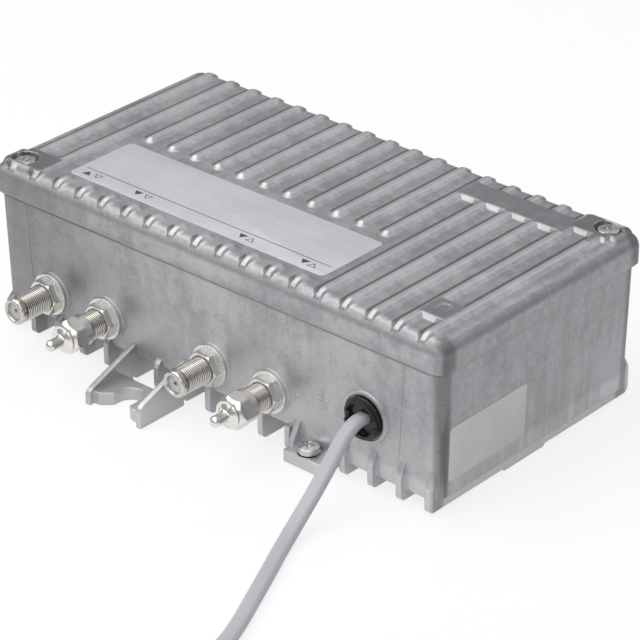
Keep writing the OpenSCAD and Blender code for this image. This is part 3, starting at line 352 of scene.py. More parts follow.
def capped_faces(rows, columns):
    """Quads round a grid whose last column joins the first, and one face over each end row."""
    ends = [list(range(columns))[::-1], list(range((rows - 1) * columns, rows * columns))]
    return grid_faces(rows, columns, wrap=True) + ends


def tube_object(name, path, section, sharp=40, above=(0, 0, 1)):
    """A closed tube: the swept grid, turned outwards, with the section as a face at each end."""
    skin = sweep(path, section, above)
    faces = [f[::-1] for f in capped_faces(*skin.shape[:2])]
    return link_mesh(name, placed(skin), faces, sharp=sharp)


turn = np.linspace(0, 2 * np.pi, SECTION_POINTS, endpoint=False) + np.pi / SECTION_POINTS
flat = np.stack([(CORD_W - CORD_T) / 2 * np.sign(np.cos(turn)) + CORD_T / 2 * np.cos(turn),
                 CORD_T / 2 * np.sin(turn)], -1)
lead_path = np.vstack([smooth_route(lead_route, 6)[:-1], coil_route(), smooth_route(tail_route, 5)[1:]])
lead = tube_object("mains_lead", lead_path, flat)
jacket, here, shader = new_finish("grey_lead_jacket", Roughness=0.5, Specular_IOR_Level=0.4)
drift = here.noise(45.0, 2.0)
fine = here.noise(2600.0, 2.0)
feed(shader, Base_Color=drift.tint((0.41, 0.405, 0.44), (0.46, 0.455, 0.49)),
     Roughness=drift * 0.15 + 0.42, Normal=fine.bump(0.00008, 0.35))
lead.data.materials.append(jacket)
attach(lead, "base")
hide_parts("mains_cord", "mains_cord_coil", "mains_cord_tail")
lead_line = place(*lead_path.T[:3])

# Housing and wall lugs.
# One aluminium pressure die-casting: a drafted box with fins below, a forked lug in front and a closed
# one behind. The skin is left as cast, with flow streaks, smudges and bright worn edges; painted light and
# shade lie over it.
RIB_PITCH = 10.6
HALF_PITCH = RIB_PITCH / 2


def model_axes(here):
    """Object coordinates in millimetres from the middle of the housing, the numbers that place() takes."""
    return here.axis("X") * (1 / MM), here.axis("Y") * (1 / MM) - SHIFT_Y, here.axis("Z") * (1 / MM)


def edge_wear(here, radius):
    """The normal rounded over edges, and a mask of the edges, where it leans off the face's own normal."""
    rounded = here.node("ShaderNodeBevel", {"samples": 6}, {"Radius": radius})
    face = here.node("ShaderNodeNewGeometry", None, None, "True Normal")
    same = here.node("ShaderNodeVectorMath", {"operation": "DOT_PRODUCT"}, {0: rounded, 1: face}, "Value")
    return rounded, (1 - same).step(0.015, 0.16)


cast, here, shader = new_finish("as_cast_aluminium", Metallic=0.74, Specular_IOR_Level=0.4)
soft_edge, worn = edge_wear(here, 0.7 * MM)
cloud = here.noise(30.0, 3.0, 0.55)
smudge = here.noise(190.0, 6.0, 0.7)
mottle = here.noise(620.0, 4.0, 0.65)
streak = here.noise(260.0, 3.0, 0.55, (1.0, 1.0, 0.12))
grit = here.noise(1700.0, 3.0, 0.6)
speck = here.noise(1000.0, 2.0, 0.5).step(0.67, 0.74)
tone = cloud * 0.36 + smudge * 0.30 + mottle * 0.18 + streak * 0.16
at_x, at_y, at_z = model_axes(here)

# Flat places on top of the lid are darker: the bar, the pads round the two screws and the blind boss.
top = at_z.step(62.2, 63.0)
bar_zone = at_x.step(36.2, 36.8) * at_y.band(31.0, 31.8, 41.5, 42.5)
rear_pad = at_x.step(79.0, 79.8) * at_y.step(36.4, 37.2)
front_pad = at_x.step(-78.0, -78.7) * at_y.step(-36.6, -37.4)
blind_zone = at_x.band(78.6, 79.4, 89.2, 90.0) * at_y.band(-39.0, -38.2, -28.4, -27.6)
flat_land = top * (bar_zone + rear_pad + front_pad + blind_zone).math("MINIMUM", 1.0)
pads = top * (rear_pad + front_pad).math("MINIMUM", 1.0)

# Painted bounce light from the floor makes the walls paler downwards, most at the fins. Stains lie on the
# lid's rounded edge.
stain = at_z.band(57.2, 59.0, 60.7, 61.6) * (smudge * 0.6 + cloud * 0.4).step(0.34, 0.58)
skin = tone.step(0.41, 0.59).tint((0.33, 0.333, 0.345), (0.48, 0.48, 0.492))
land_skin = tone.step(0.35, 0.65).tint((0.26, 0.263, 0.272), (0.34, 0.342, 0.352))
skin = (flat_land * 0.8).tint(skin, land_skin)
skin = (at_z.step(44.0, 10.0) * 0.45).tint(skin, (0.56, 0.56, 0.575))
skin = (at_z.step(12.5, 9.0) * 0.5).tint(skin, (0.72, 0.72, 0.735))
skin = (stain * 0.65).tint(skin, (0.22, 0.222, 0.23))

# Painted shade lies along each rib's left foot, in the rounded vertical corners, towards the left end of the
# front and along the seam under the lid's overhang. Dirt blots the end walls, specks lie all over and the
# screw pads are darker. Rib crowns carry a painted highlight, and edges are rubbed bright.
# Painted shade: a dark line beside the left foot of each rib, narrower where the ribs run over the edge.
edge = at_z.step(61.8, 60.6)
beside = abs((at_x - 2.8 - edge * 0.9).math("WRAP", -HALF_PITCH, HALF_PITCH)) + edge * 0.8
ribbed = 1 - at_x.band(-73.5, -72.5, 39.5, 40.5) * at_y.band(-45.5, -44.5, -5.0, -4.0)
shade = beside.step(1.4, 0.9) * at_z.band(59.8, 60.4, 62.9, 63.1) * abs(at_x).step(95.0, 94.5) * ribbed
# Painted shade in the rounded vertical corners of the lid and the housing.
corner = abs(at_x).step(93.2, 95.2) * abs(at_y).band(43.2, 45.8, 48.8, 50.6)
ends = abs(at_x).step(95.2, 96.4) * at_z.step(59.0, 56.0) * (cloud * 0.6 + streak * 0.4).step(0.38, 0.58)
# Painted shade, deepening towards the left end of the front wall and the lid's front, broken up by cloud.
left_front_shade = (at_x + (cloud - 0.5) * 50.0).step(0.0, -90.0) * at_z.step(60.0, 57.0) * at_y.step(-44.0, -47.0)
# Painted shadow along the seam under the lid's overhang, broken up by noise.
seam_shadow = at_z.band(49.7, 50.6, 51.1, 51.6) * (cloud + smudge).step(0.55, 1.15)
dirt_and_shade = shade * 0.8 + corner * 0.6 + speck * 0.4 + left_front_shade * 0.5 + ends * 0.36 + pads * 0.35 + seam_shadow * 0.75
skin = dirt_and_shade.math("MINIMUM", 1.0).tint(skin, (0.12, 0.121, 0.126))
# Painted highlight on the rib crowns, away from the flats.
crest = abs((at_x - HALF_PITCH).math("WRAP", -HALF_PITCH, HALF_PITCH)).step(1.7, 0.8)
crown_highlight = crest * at_z.step(62.1, 62.9) * (1 - flat_land)
skin = (crown_highlight * 0.55).tint(skin, (0.60, 0.60, 0.61))
skin = (worn * 0.55).tint(skin, (0.66, 0.66, 0.67))
satin = smudge * 0.2 + 0.34 + stain * 0.14 - worn * 0.12 - flat_land * 0.08
relief = (grit * 0.5 + mottle * 0.6 + smudge * 0.6 + streak * 0.2).bump(0.00022, 0.34, soft_edge)
feed(shader, Base_Color=skin, Roughness=satin, Normal=relief)


def dress(material, *names):
    """Gives CAD nodes a material through their slots."""
    for name in names:
        piece = nodes[name]
        if not piece.material_slots:
            piece.data.materials.append(material)
        for held in piece.material_slots:
            held.material = material


dress(cast, "housing", "wall_lug_front", "wall_lug_rear")

# Marks cast into the front wall.
# Raised lines left by engraving in the die: the earth sign over its terminal, an arrow head beside it
# and the thin seams where the die's slides met.
RIM_Z, WALL_FOOT = 51.0, 9.5
HALF_W, HALF_D = 97.5, 50.5
LEAN = math.tan(math.radians(1.5))
SIGN_X = 49.2
SIGN_BEAD, ARROW_BEAD, SEAM_BEAD = 0.32, 0.3, 0.16


def front_face(x, z):
    """Points on the front wall at x and z in millimetres, where the draft sets y; their roll is 0."""
    return np.stack([x, -(HALF_D - (RIM_Z - z) * LEAN), z, 0 * z], -1)


def bead(name, x, z, radius):
    """A round bead half sunk in the front wall, along the line through the points x, z."""
    t = np.linspace(0, len(x) - 1, 12 * (len(x) - 1) + 1)
    line = front_face(np.interp(t, np.arange(len(x)), x), np.interp(t, np.arange(len(x)), z))
    angle = np.linspace(0, 2 * np.pi, 12, endpoint=False)
    made = tube_object(name, line, radius * np.stack([np.cos(angle), np.sin(angle)], -1), above=(0, 1, 0))
    made.data.materials.append(cast)
    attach(made, "base")


bead("earth_sign_stem", (SIGN_X, SIGN_X), (27.4, 24.6), SIGN_BEAD)
for name, half, z in (("wide", 2.7, 24.6), ("middle", 1.7, 23.2), ("narrow", 0.8, 21.8)):
    bead(f"earth_sign_{name}", (SIGN_X - half, SIGN_X + half), (z, z), SIGN_BEAD)
bead("arrow_head", (36.7, 38.6, 40.5), (20.6, 22.4, 20.6), ARROW_BEAD)
bead("die_seam_right", (83.4, 80.4), (49.6, WALL_FOOT), SEAM_BEAD)
bead("die_seam_left", (-83.4, -82.2), (49.6, WALL_FOOT), SEAM_BEAD)

# Roots of the fins.
# Where a fin leaves the front or the rear wall, the casting runs up into a short soft ramp, in one with
# the housing. The ramps are lower below the sockets and the earth terminal.
FINS_ASIDE, FIN_PITCH, FIN_TOP = 8, 11.725, 9.85
FIN_FRONT = HALF_D - (RIM_Z - WALL_FOOT) * LEAN + 1.9
CORNER_R = 5.5
ROOT_HALF, ROOT_RISE, LOW_ROOT_RISE = 1.5, 6.5, 3.0
LAST_LOW_FIN = 4
ROOT_BACK = HALF_D - 3


def fin_root(x, side, rise):
    """A ridge between the wall and the fin's front.

    It is full at the fin's top, and eases to nothing one rise above it and towards its sides. The wall
    leans in by its draft, and past the corner's centre it falls back along a circle."""
    u, z = np.meshgrid(np.linspace(-ROOT_HALF, ROOT_HALF, 13), np.linspace(FIN_TOP - 0.5, FIN_TOP + rise, 16),
                       indexing="ij")
    inset = (RIM_Z - z) * LEAN
    radius = CORNER_R - inset
    past = np.clip(np.abs(x + u) - HALF_W + CORNER_R, 0, 0.9 * radius)
    wall = HALF_D - inset - radius + np.sqrt(radius ** 2 - past ** 2)
    full = (1 - ease((z - FIN_TOP) / rise)) * np.clip((ROOT_HALF - np.abs(u)) / 0.5, 0, 1)
    return np.stack([x + u, side * (wall + (FIN_FRONT - wall) * full - 0.05), z], -1)


def border(rows, columns):
    """The rim of a grid as one loop of point numbers: first row, last column, last row, first column."""
    number = np.arange(rows * columns).reshape(rows, columns)
    return np.concatenate([number[0, :-1], number[:-1, -1], number[-1, :0:-1], number[:0:-1, 0]])


def fin_roots(name, skipped, side):
    """One mesh of all the roots on a wall, apart from the fins that a lug or a ledge covers.

    Each root is a closed shell: its ridge, the same grid laid flat inside the wall, and a band round both."""
    fins = [k for k in range(-FINS_ASIDE, FINS_ASIDE + 1) if k not in skipped]
    rises = [ROOT_RISE if k > LAST_LOW_FIN or side > 0 else LOW_ROOT_RISE for k in fins]
    ridges = np.stack([fin_root(k * FIN_PITCH, side, rise) for k, rise in zip(fins, rises)])
    backs = ridges * (1, 0, 1) + (0, side * ROOT_BACK, 0)
    n, m = ridges.shape[1:3]
    size = n * m
    ring = border(n, m)
    following = np.roll(ring, -1)
    shell = grid_faces(n, m) + [f[::-1] for f in grid_faces(n, m, start=size)]
    shell += np.stack([following, ring, ring + size, following + size], -1).tolist()
    starts = 2 * size * np.arange(len(fins))[:, None, None]
    faces = (np.array(shell)[None, :, ::side] + starts).reshape(-1, 4).tolist()
    made = link_mesh(name, placed(np.stack([ridges, backs], 1)), faces, sharp=60)
    made.data.materials.append(cast)
    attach(made, "base")


fin_roots("fin_roots_front", (-3, -1, 3, 4), -1)
fin_roots("fin_roots_rear", (-1, 1), 1)

# Side label.
# A bare off-white paper sticker with rounded corners, glued to the right end wall. Its colour is painted
# grey, as painted shade of the end wall; the paper is a little aged, and its fibres show.
STICKER_W, STICKER_H, STICKER_R = 38.0, 19.5, 1.4
STICKER_Y, STICKER_Z = -25.3, 20.15


def rounded_outline(wide_by, deep_by, radius, steps=6):
    """A closed loop round a rectangle with rounded corners, anticlockwise, quarter circles at the corners."""
    quarter = np.radians(np.arange(steps + 1) * 90 / steps)
    turn = np.concatenate([quarter + k * np.pi / 2 for k in range(4)])
    cx = np.repeat([1, -1, -1, 1], steps + 1) * (wide_by / 2 - radius)
    cy = np.repeat([1, 1, -1, -1], steps + 1) * (deep_by / 2 - radius)
    return np.stack([cx + radius * np.cos(turn), cy + radius * np.sin(turn)], -1)


def thin_plate(name, loop, thick, surface):
    """A thin sheet: the loop on the surface, the same loop raised, a smaller loop on top, and end faces."""
    rings = [(loop, 0.0), (loop, thick * 0.7), (loop * (1 - 0.1 / np.abs(loop).max(0)), thick)]
    points = np.concatenate([surface(ring[:, 0], ring[:, 1], up) for ring, up in rings])
    return link_mesh(name, points, capped_faces(len(rings), len(loop)), sharp=30)


def end_wall(v, w, up):
    """The right end wall at v along y and w in height about the sticker's middle, raised by up."""
    z = STICKER_Z + w
    return place(HALF_W - (RIM_Z - z) * LEAN + up, STICKER_Y + v, z)


sticker = thin_plate("side_label", rounded_outline(STICKER_W, STICKER_H, STICKER_R), 0.14, end_wall)
paper, here, shader = new_finish("bare_paper_label", Roughness=0.55, Specular_IOR_Level=0.4)
age = here.noise(60.0, 3.0, 0.55)
fibre = here.noise(2200.0, 3.0, 0.6)
fade = (age * 0.7 + fibre * 0.3).step(0.3, 0.7)
# Painted shade: the paper's tones are set grey, darker than its off-white, for the shade on the end wall.
feed(shader, Base_Color=fade.tint((0.53, 0.525, 0.51), (0.59, 0.585, 0.57)),
     Roughness=age * 0.2 + 0.45, Normal=fibre.bump(0.00004, 0.3))
sticker.data.materials.append(paper)
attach(sticker, "base")

# Lid gasket.
# A flat frame of black sheet rubber. It lies loose on the housing's rim and seals the box when the lid is
# screwed down on it.


def mottled(name, low, high, scale, rough, grain=1400.0, depth=0.00005, **constants):
    """A moulded or plated finish: two tones mixed by noise, a range of roughness, a fine grain in relief."""
    made, here, shader = new_finish(name, **constants)
    mix = here.noise(scale, 4.0, 0.6).step(0.3, 0.7)
    fine = here.noise(grain, 3.0, 0.6)
    feed(shader, Base_Color=mix.tint(low, high), Normal=fine.bump(depth, 0.35),
         Roughness=mix * (rough[1] - rough[0]) + rough[0])
    return made


rubber = mottled("gasket_rubber", (0.016, 0.016, 0.017), (0.030, 0.030, 0.031), 240.0, (0.62, 0.80))
dress(rubber, "lid_gasket")

# Lid.
# A shallow die-cast cover with cooling ribs across it, flat places for the label and the bar, bosses
# sunk for its two screws, and a rounded edge over which the ribs run out as narrow tongues.
LID_W, LID_D = 198.0, 103.0
VALLEY, RIB_H, EDGE = 61.8, 1.4, 5.0
RIBS = 18
RIB_MIDDLE = (RIBS - 1) / 2
FIRST_CUT, LAST_CUT, CUT_REAR, CUT_FRONT = 2, 12, -4.3, -44.7
BAR = (37.0, 79.7, 32.0, 41.3)
REAR_PAD, FRONT_PAD = (79.8, 93.4, 37.4, 60), (-93.4, -78.6, -60, -37.2)
BLIND_BOSS = (79.0, 89.4, -38.4, -28.2)
MARK_X, MARK_Y, MARK_R = 84.3, -33, 2.4
SCREW_X, SCREW_Y = 89.5, 44.0
BOSS_R, SEAT_R, SEAT_Z = 7.2, 4.7, 59.8
SKIRT_Z, CHAMFER_Z, LID_FOOT, CHAMFER = 55.0, 51.5, 51.0, 0.45
HOLLOW_W, HOLLOW_D, HOLLOW_Z = 191.6, 97.6, 59.3


def plateau(x, y, zone, side, front, back):
    """1 over a zone of x0, x1, y0, y1, falling to 0 outside it over side, front and back millimetres."""
    x0, x1, y0, y1 = zone
    across = ease(1 + (x - x0) / side) * ease(1 + (x1 - x) / side)
    return across * ease(1 + (y - y0) / front) * ease(1 + (y1 - y) / back)


def lid_relief(x, y, a):
    """Height over the valleys at x, y where the edge has bent by a degrees.

    A rib rises from its foot to its crest along the ease curve of the distance from its centre line, and
    past a cut end of the distance from the end point. The flats are plateaus. The highest of all counts."""
    k = np.clip(np.round(x / RIB_PITCH + RIB_MIDDLE), 0, RIBS - 1)
    dx = x - (k - RIB_MIDDLE) * RIB_PITCH
    cut = np.maximum(0, np.minimum(CUT_REAR - y, y - CUT_FRONT))
    cut = np.where((k >= FIRST_CUT) & (k <= LAST_CUT), cut, 0)
    far = np.hypot(dx, cut)
    foot = np.interp(a, [0, 12, 25], [2.95, 2.1, 1.45])
    crest = np.interp(a, [0, 25], [0.45, 0.9])
    ribs = ease((foot - far) / (foot - crest)) * np.interp(a, [0, 15, 30, 43, 46], [1, 0.8, 0.58, 0.45, 0])
    flats = np.maximum.reduce([
        plateau(x, y, BAR, 0.8, 2.0, 1.6),
        plateau(x, y, REAR_PAD, 0.8, 2.0, 1), plateau(x, y, FRONT_PAD, 0.8, 1, 2.0),
        plateau(x, y, BLIND_BOSS, 0.9, 2.0, 1.6),
        ease((BOSS_R - np.hypot(x - SCREW_X, y - SCREW_Y)) / 0.8),
        ease((BOSS_R - np.hypot(x + SCREW_X, y + SCREW_Y)) / 0.8)])
    flats = flats * ease((38 - a) / 26)
    mark = 0.28 * ease(1 - np.abs(np.hypot(x - MARK_X, y - MARK_Y) - MARK_R) / 0.7)
    return RIB_H * (np.maximum(ribs, flats) - mark)


def thinned(at, least):
    """Positions sorted, without those that follow another by no more than least."""
    at = np.unique(np.round(at, 3))
    return at[np.concatenate([[True], np.diff(at) > least])]


# Columns stand close at the ribs' flanks and at the two screws, rows at the ribs' ends and at the flats.
half_x, half_y = LID_W / 2 - EDGE, LID_D / 2 - EDGE
offsets = np.array([0, 0.6, 0.95, 1.2, 1.5, 1.9, 2.3, 2.7, 3.1, 3.5, 4.3])
ribs_at = (np.arange(RIBS) - RIB_MIDDLE) * RIB_PITCH
flanks = np.concatenate([-offsets[::-1], offsets[1:], [HALF_PITCH]])
rib_columns = (ribs_at[:, None] + flanks[None, :]).ravel()
near = np.arange(83.6, 94.01, 0.4)
columns = thinned(np.concatenate([rib_columns[np.abs(rib_columns) < 83.4], near, -near]), 0.12)
columns[0], columns[-1] = -half_x, half_x
row_runs = ((-46.5, -36.1, 0.4), (-35.9, -31, 1.6), (-30.4, -26, 0.45), (-25, -11, 3.5), (-10.4, -3.7, 0.4),
            (-2, 28, 5), (29.4, 32.4, 0.4), (33.4, 36.5, 1), (35.1, 46.5, 0.4))
rows = thinned(np.concatenate([np.arange(first, last + 1e-6, step) for first, last, step in row_runs]), 0.17)
rows[-1] = half_y

# Past the flat top the grid bends down round the edge, a quarter turn in the steps of bend, and the relief
# stands along the bent normal.
bend = np.array([0.08, 0.17, 0.25, 0.33, 0.40, 0.47, 0.53, 0.6, 0.7, 0.8, 0.9, 1.0])
u = np.concatenate([-bend[::-1], np.zeros(len(columns)), bend])
v = np.concatenate([-bend[::-1], np.zeros(len(rows)), bend])
x = np.concatenate([np.full(len(bend), -half_x), columns, np.full(len(bend), half_x)])
y = np.concatenate([np.full(len(bend), -half_y), rows, np.full(len(bend), half_y)])
u, v = np.meshgrid(u, v)
x, y = np.meshgrid(x, y)
angle = np.maximum(np.abs(u), np.abs(v)) * np.pi / 2
length = np.maximum(np.hypot(u, v), 1e-9)
nx, ny, nz = np.sin(angle) * u / length, np.sin(angle) * v / length, np.cos(angle)
lift = EDGE + lid_relief(x, y, np.degrees(angle))
px, py, pz = x + lift * nx, y + lift * ny, VALLEY - EDGE + lift * nz

# Points near the rim of a screw's seat are drawn to it, and those within it sink to the seat.
flat_top = angle == 0
for s in (-1, 1):
    gap = np.hypot(px - s * SCREW_X, py - s * SCREW_Y)
    inner = flat_top & (gap < SEAT_R) & (gap > SEAT_R - 0.3)
    outer = flat_top & (gap >= SEAT_R) & (gap < SEAT_R + 0.3)
    pull = np.where(inner, SEAT_R - 0.04, np.where(outer, SEAT_R + 0.04, gap)) / np.maximum(gap, 1e-6)
    px, py = s * SCREW_X + (px - s * SCREW_X) * pull, s * SCREW_Y + (py - s * SCREW_Y) * pull
    pz = np.where(flat_top & (gap < SEAT_R), SEAT_Z, pz)

# The skirt, its chamfered foot and the hollow inside follow the grid's rim, loop by loop.
n, m = px.shape
ring = border(n, m)
rim = np.stack([px.ravel()[ring], py.ravel()[ring]], -1)
foot = rim * (1 - CHAMFER / np.array([LID_W / 2, LID_D / 2]))
hollow = rim * np.array([HOLLOW_W / LID_W, HOLLOW_D / LID_D])
loops = [(rim, SKIRT_Z), (rim, CHAMFER_Z), (foot, LID_FOOT), (hollow, LID_FOOT), (hollow, HOLLOW_Z)]
points = np.concatenate([placed(np.stack([px, py, pz], -1))] + [place(*loop.T, z) for loop, z in loops])
count = len(ring)
faces = grid_faces(n, m)
last = ring
for k in range(len(loops)):
    following = n * m + k * count + np.arange(count)
    faces += np.stack([last, following, np.roll(following, -1), np.roll(last, -1)], -1).tolist()
    last = following
faces.append(last[::-1].tolist())
lid = link_mesh("ribbed_lid", points, faces, sharp=42)
lid.data.materials.append(cast)
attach(lid, "lid")
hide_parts("lid")

# Lid label.
# A silvered foil plate stuck on the flat between the ribs: bare, with one thin rule across it and a
# pair of small arrow marks over each socket.
LABEL_W, LABEL_D, LABEL_R = 113.7, 29.8, 2.0
LABEL_X, LABEL_Y = -15.65, -25.4
RULE_X, RULE_Y, RULE_HALF = -15.7, -33.7, 54.5
ARROW_FRONT, ARROW_REAR = -37.9, -35.3


def lid_flat(v, w, up):
    """The flat of the lid about the label's middle, raised by up."""
    return place(LABEL_X + v, LABEL_Y + w, VALLEY + 0.01 + up)


label = thin_plate("lid_label", rounded_outline(LABEL_W, LABEL_D, LABEL_R), 0.16, lid_flat)
foil, here, shader = new_finish("silver_foil_label", Metallic=0.35, Specular_IOR_Level=0.5)
at_x, at_y, _ = model_axes(here)
haze = here.noise(50.0, 4.0, 0.6)
lines = here.noise(900.0, 2.0, 0.5, (0.04, 1.0, 1.0))
rule = abs(at_y - RULE_Y).step(0.22, 0.12) * abs(at_x - RULE_X).step(RULE_HALF + 0.1, RULE_HALF)


def arrow(middle, front, hollow):
    """A triangle 2.6 mm high with its point to the front, or to the rear; hollow leaves only its outline."""
    along = at_y - ARROW_FRONT if front else ARROW_REAR - at_y
    outside = abs(at_x - middle) - along * 0.7
    solid = outside.step(0.08, -0.08) * along.step(2.62, 2.54)
    if not hollow:
        return solid
    return solid - (outside + 0.4).step(0.05, -0.05) * along.step(2.32, 2.26)


ink = rule
for left, right, solid_front, hollow_front in ((-67.0, -62.6, False, True), (-43.9, -39.4, True, True),
                                               (3.2, 7.2, True, False), (30.0, 33.8, True, False)):
    ink = ink + arrow(left, solid_front, False) + arrow(right, hollow_front, True)
ground = (haze * 0.6 + lines * 0.4).step(0.3, 0.7).tint((0.56, 0.56, 0.585), (0.64, 0.64, 0.665))
feed(shader, Base_Color=ink.math("MINIMUM", 1.0).tint(ground, (0.06, 0.06, 0.07)), Roughness=haze * 0.2 + 0.3,
     Normal=lines.bump(0.00003, 0.25))
label.data.materials.append(foil)
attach(label, "lid")

# Lid screws and washers.
# Zinc-plated M4 pan-head screws with a cross recess. Each goes through a flat washer on the lid's sunk
# seat into a post of the housing.
LID_SCREW = {"z": SEAT_Z + 0.6, "head_r": 3.7, "head_h": 2.6, "length": 12.4}
zinc = mottled("zinc_plate", (0.52, 0.52, 0.53), (0.66, 0.66, 0.66), 700.0, (0.22, 0.40), 2600.0, 0.00004,
               Metallic=1.0)


def round_screw(x, y, z, head_r, head_h, length, turned):
    """A screw standing on z: polar grid over the domed head, its rim, the underside and a threaded shank.

    The dome falls with the square of the radius. The recess is a cross of two tapered slots. The thread is a
    triangle wave of the turn and the depth, from the root to the full radius."""
    share = np.concatenate([np.linspace(0.02, 0.62, 19), np.linspace(0.66, 0.94, 8), [0.98, 1.0, 1.0, 0.98]])
    turn = np.linspace(0, 2 * np.pi, 72, endpoint=False)
    r, t = np.meshgrid(share * head_r, turn, indexing="ij")
    across, along = r * np.cos(t), r * np.sin(t)
    arm = np.maximum(ease((0.62 - np.abs(across)) / 0.22) * ease((2.05 - np.abs(along)) / 0.35),
                     ease((0.62 - np.abs(along)) / 0.22) * ease((2.05 - np.abs(across)) / 0.35))
    top = head_h * (1 - 0.22 * (r / head_r) ** 2) - 1.5 * arm * (1 - 0.5 * r / head_r)
    top[-4:] = np.array([head_h * 0.73, head_h * 0.62, 0.12, 0.0])[:, None]
    down = np.concatenate([[0.0], np.arange(0.3, length - 0.8, 0.117), [length - 0.5, length]])
    d, t2 = np.meshgrid(down, turn, indexing="ij")
    wave = np.abs(((d / 0.7 + t2 / (2 * np.pi)) % 1) * 2 - 1)
    shank = np.where(d < 0.2, 1.75, np.where(d > length - 0.2, 1.1, 1.55 + 0.4 * wave))
    a = t + math.radians(turned)
    grid = np.concatenate([np.stack([x + r * np.cos(a), y + r * np.sin(a), z + top], -1),
                           np.stack([x + shank * np.cos(t2), y + shank * np.sin(t2), z - d], -1)])
    return placed(grid), [f[::-1] for f in capped_faces(*grid.shape[:2])]


def screw(name, node, **sizes):
    """A zinc-plated screw of these sizes in the place of a CAD node, which is also the body it rides on."""
    made = link_mesh(name, *round_screw(**sizes), sharp=38)
    made.data.materials.append(zinc)
    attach(made, node)
    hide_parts(node)


screw("lid_screw_front_head", "lid_screw_front", x=-SCREW_X, y=-SCREW_Y, turned=22, **LID_SCREW)
screw("lid_screw_rear_head", "lid_screw_rear", x=SCREW_X, y=SCREW_Y, turned=58, **LID_SCREW)
dress(zinc, "lid_washer_front", "lid_washer_rear")

# Coaxial sockets.
# Nickel-plated brass barrels with a fine inch thread and a smooth end, pushed through the wall from
# inside and held by a washer and a chamfered hex nut. A grey insulator carries the spring contact.
PORTS = (-73.4, -47.3, 1.0, 27.1)
PORT_Z = 19.4
THREAD, THREAD_R, THREAD_DEPTH = 0.79375, 4.7625, 0.46
BARREL_SIDES = 48
nickel, here, shader = new_finish("nickel_plate", Metallic=1.0)
tarnish = here.noise(180.0, 3.0, 0.5)
rubbed = here.noise(1400.0, 3.0, 0.6)
at_x, at_y, at_z = model_axes(here)
side = abs(at_x - PORTS[0])
for x in PORTS[1:]:
    side = side.math("MINIMUM", abs(at_x - x))
rise = at_z - PORT_Z
out = (side * side + rise * rise).math("SQRT")
# Painted shade darkens the roots of the thread.
root = out.step(4.64, 4.42) * at_y.band(-65.6, -65.5, -54.0, -53.5)
aged = out.step(5.2, 4.9) * at_y.band(-69.0, -68.5, -54.0, -53.5)
plate = tarnish.step(0.3, 0.7).tint((0.70, 0.68, 0.645), (0.80, 0.78, 0.745))
plate = (aged * 0.55).tint(plate, (0.46, 0.435, 0.39))
feed(shader, Base_Color=(root * 0.85).tint(plate, (0.16, 0.15, 0.135)),
     Roughness=tarnish * 0.12 + rubbed * 0.08 + root * 0.2 + 0.1, Normal=rubbed.bump(0.00002, 0.2))


def lathe(x, z, y, r, columns):
    """A grid turned about the line along y through x, z.

    Row k stands at y[k] and has the radius r[k]; either may be given for each column as well."""
    t = np.linspace(0, 2 * np.pi, columns, endpoint=False)[None, :]
    y = y[:, None] if y.ndim == 1 else y
    r = r[:, None] if r.ndim == 1 else r
    y, r, t = np.broadcast_arrays(y, r, t)
    return np.stack([x + r * np.cos(t), y, z + r * np.sin(t)], -1)


# The thread is a triangle wave of the turn and the way along y, clipped to flat crests and roots.
turn = np.linspace(0, 2 * np.pi, BARREL_SIDES, endpoint=False)[None, :]
cut = np.arange(-54.6, -65.45, -THREAD / 8)[:, None]
wave = np.abs(((cut / THREAD + turn / (2 * np.pi)) % 1) * 2 - 1)
cut_r = THREAD_R - THREAD_DEPTH * np.clip(1.35 * wave - 0.2, 0, 1)
back_y = np.array([-42, -42, -45, -45, -47, -47, -54.5])
back_r = np.array([3.1, 3.7, 3.7, 6.6, 6.6, 4.46, 4.46])
front_y = np.array([-65.55, -65.7, -66.0, -67.3, -67.75, -68, -68, -67.8, -67.3])
front_r = np.array([4.3, 4.3, 4.70, 4.70, 4.5, 4.1, 3.5, 3.25, 3.1])
barrel_y = np.concatenate([back_y, cut[:, 0], front_y])
barrel_r = np.concatenate([back_r[:, None] + 0 * turn, cut_r, front_r[:, None] + 0 * turn])
nut_nickel, here, shader = new_finish("nut_nickel", Metallic=0.92)
soft_edge, worn = edge_wear(here, 0.35 * MM)
haze = here.noise(420.0, 4.0, 0.6)
plate = haze.step(0.3, 0.7).tint((0.65, 0.64, 0.615), (0.73, 0.72, 0.695))
feed(shader, Base_Color=(worn * 0.8).tint(plate, (0.92, 0.91, 0.89)),
     Roughness=haze * 0.10 + 0.2 - worn * 0.05, Normal=soft_edge)
barrel_faces = grid_faces(len(barrel_y), BARREL_SIDES, wrap=True, close=True)
for k, x in enumerate(PORTS, 1):
    points = placed(lathe(x, PORT_Z, barrel_y, barrel_r, BARREL_SIDES))
    barrel = link_mesh(f"threaded_barrel_{k}", points, barrel_faces, sharp=50)
    barrel.data.materials.append(nickel)
    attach(barrel, "base")
    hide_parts(f"f_socket_{k}")
    dress(nut_nickel, f"f_nut_{k}", f"f_washer_{k}")
insulator = mottled("socket_insulator", (0.44, 0.435, 0.43), (0.54, 0.535, 0.53), 500.0, (0.35, 0.5))
dress(insulator, "f_insulators")
dress(mottled("contact_spring", (0.66, 0.52, 0.26), (0.80, 0.67, 0.38), 900.0, (0.2, 0.35), Metallic=1.0),
      *(f"f_contact_{k}" for k in range(1, 5)))

# Terminating caps.
# Nickel-plated brass caps that screw on two of the sockets: a round collar, a hex with a coned front and
# a slim nose with a ball end. The load inside stands on a white insulating core.
CAP_SIDES = 96
CAP_FLAT = 5.5
FIRST_HEX, LAST_HEX = 7, 25


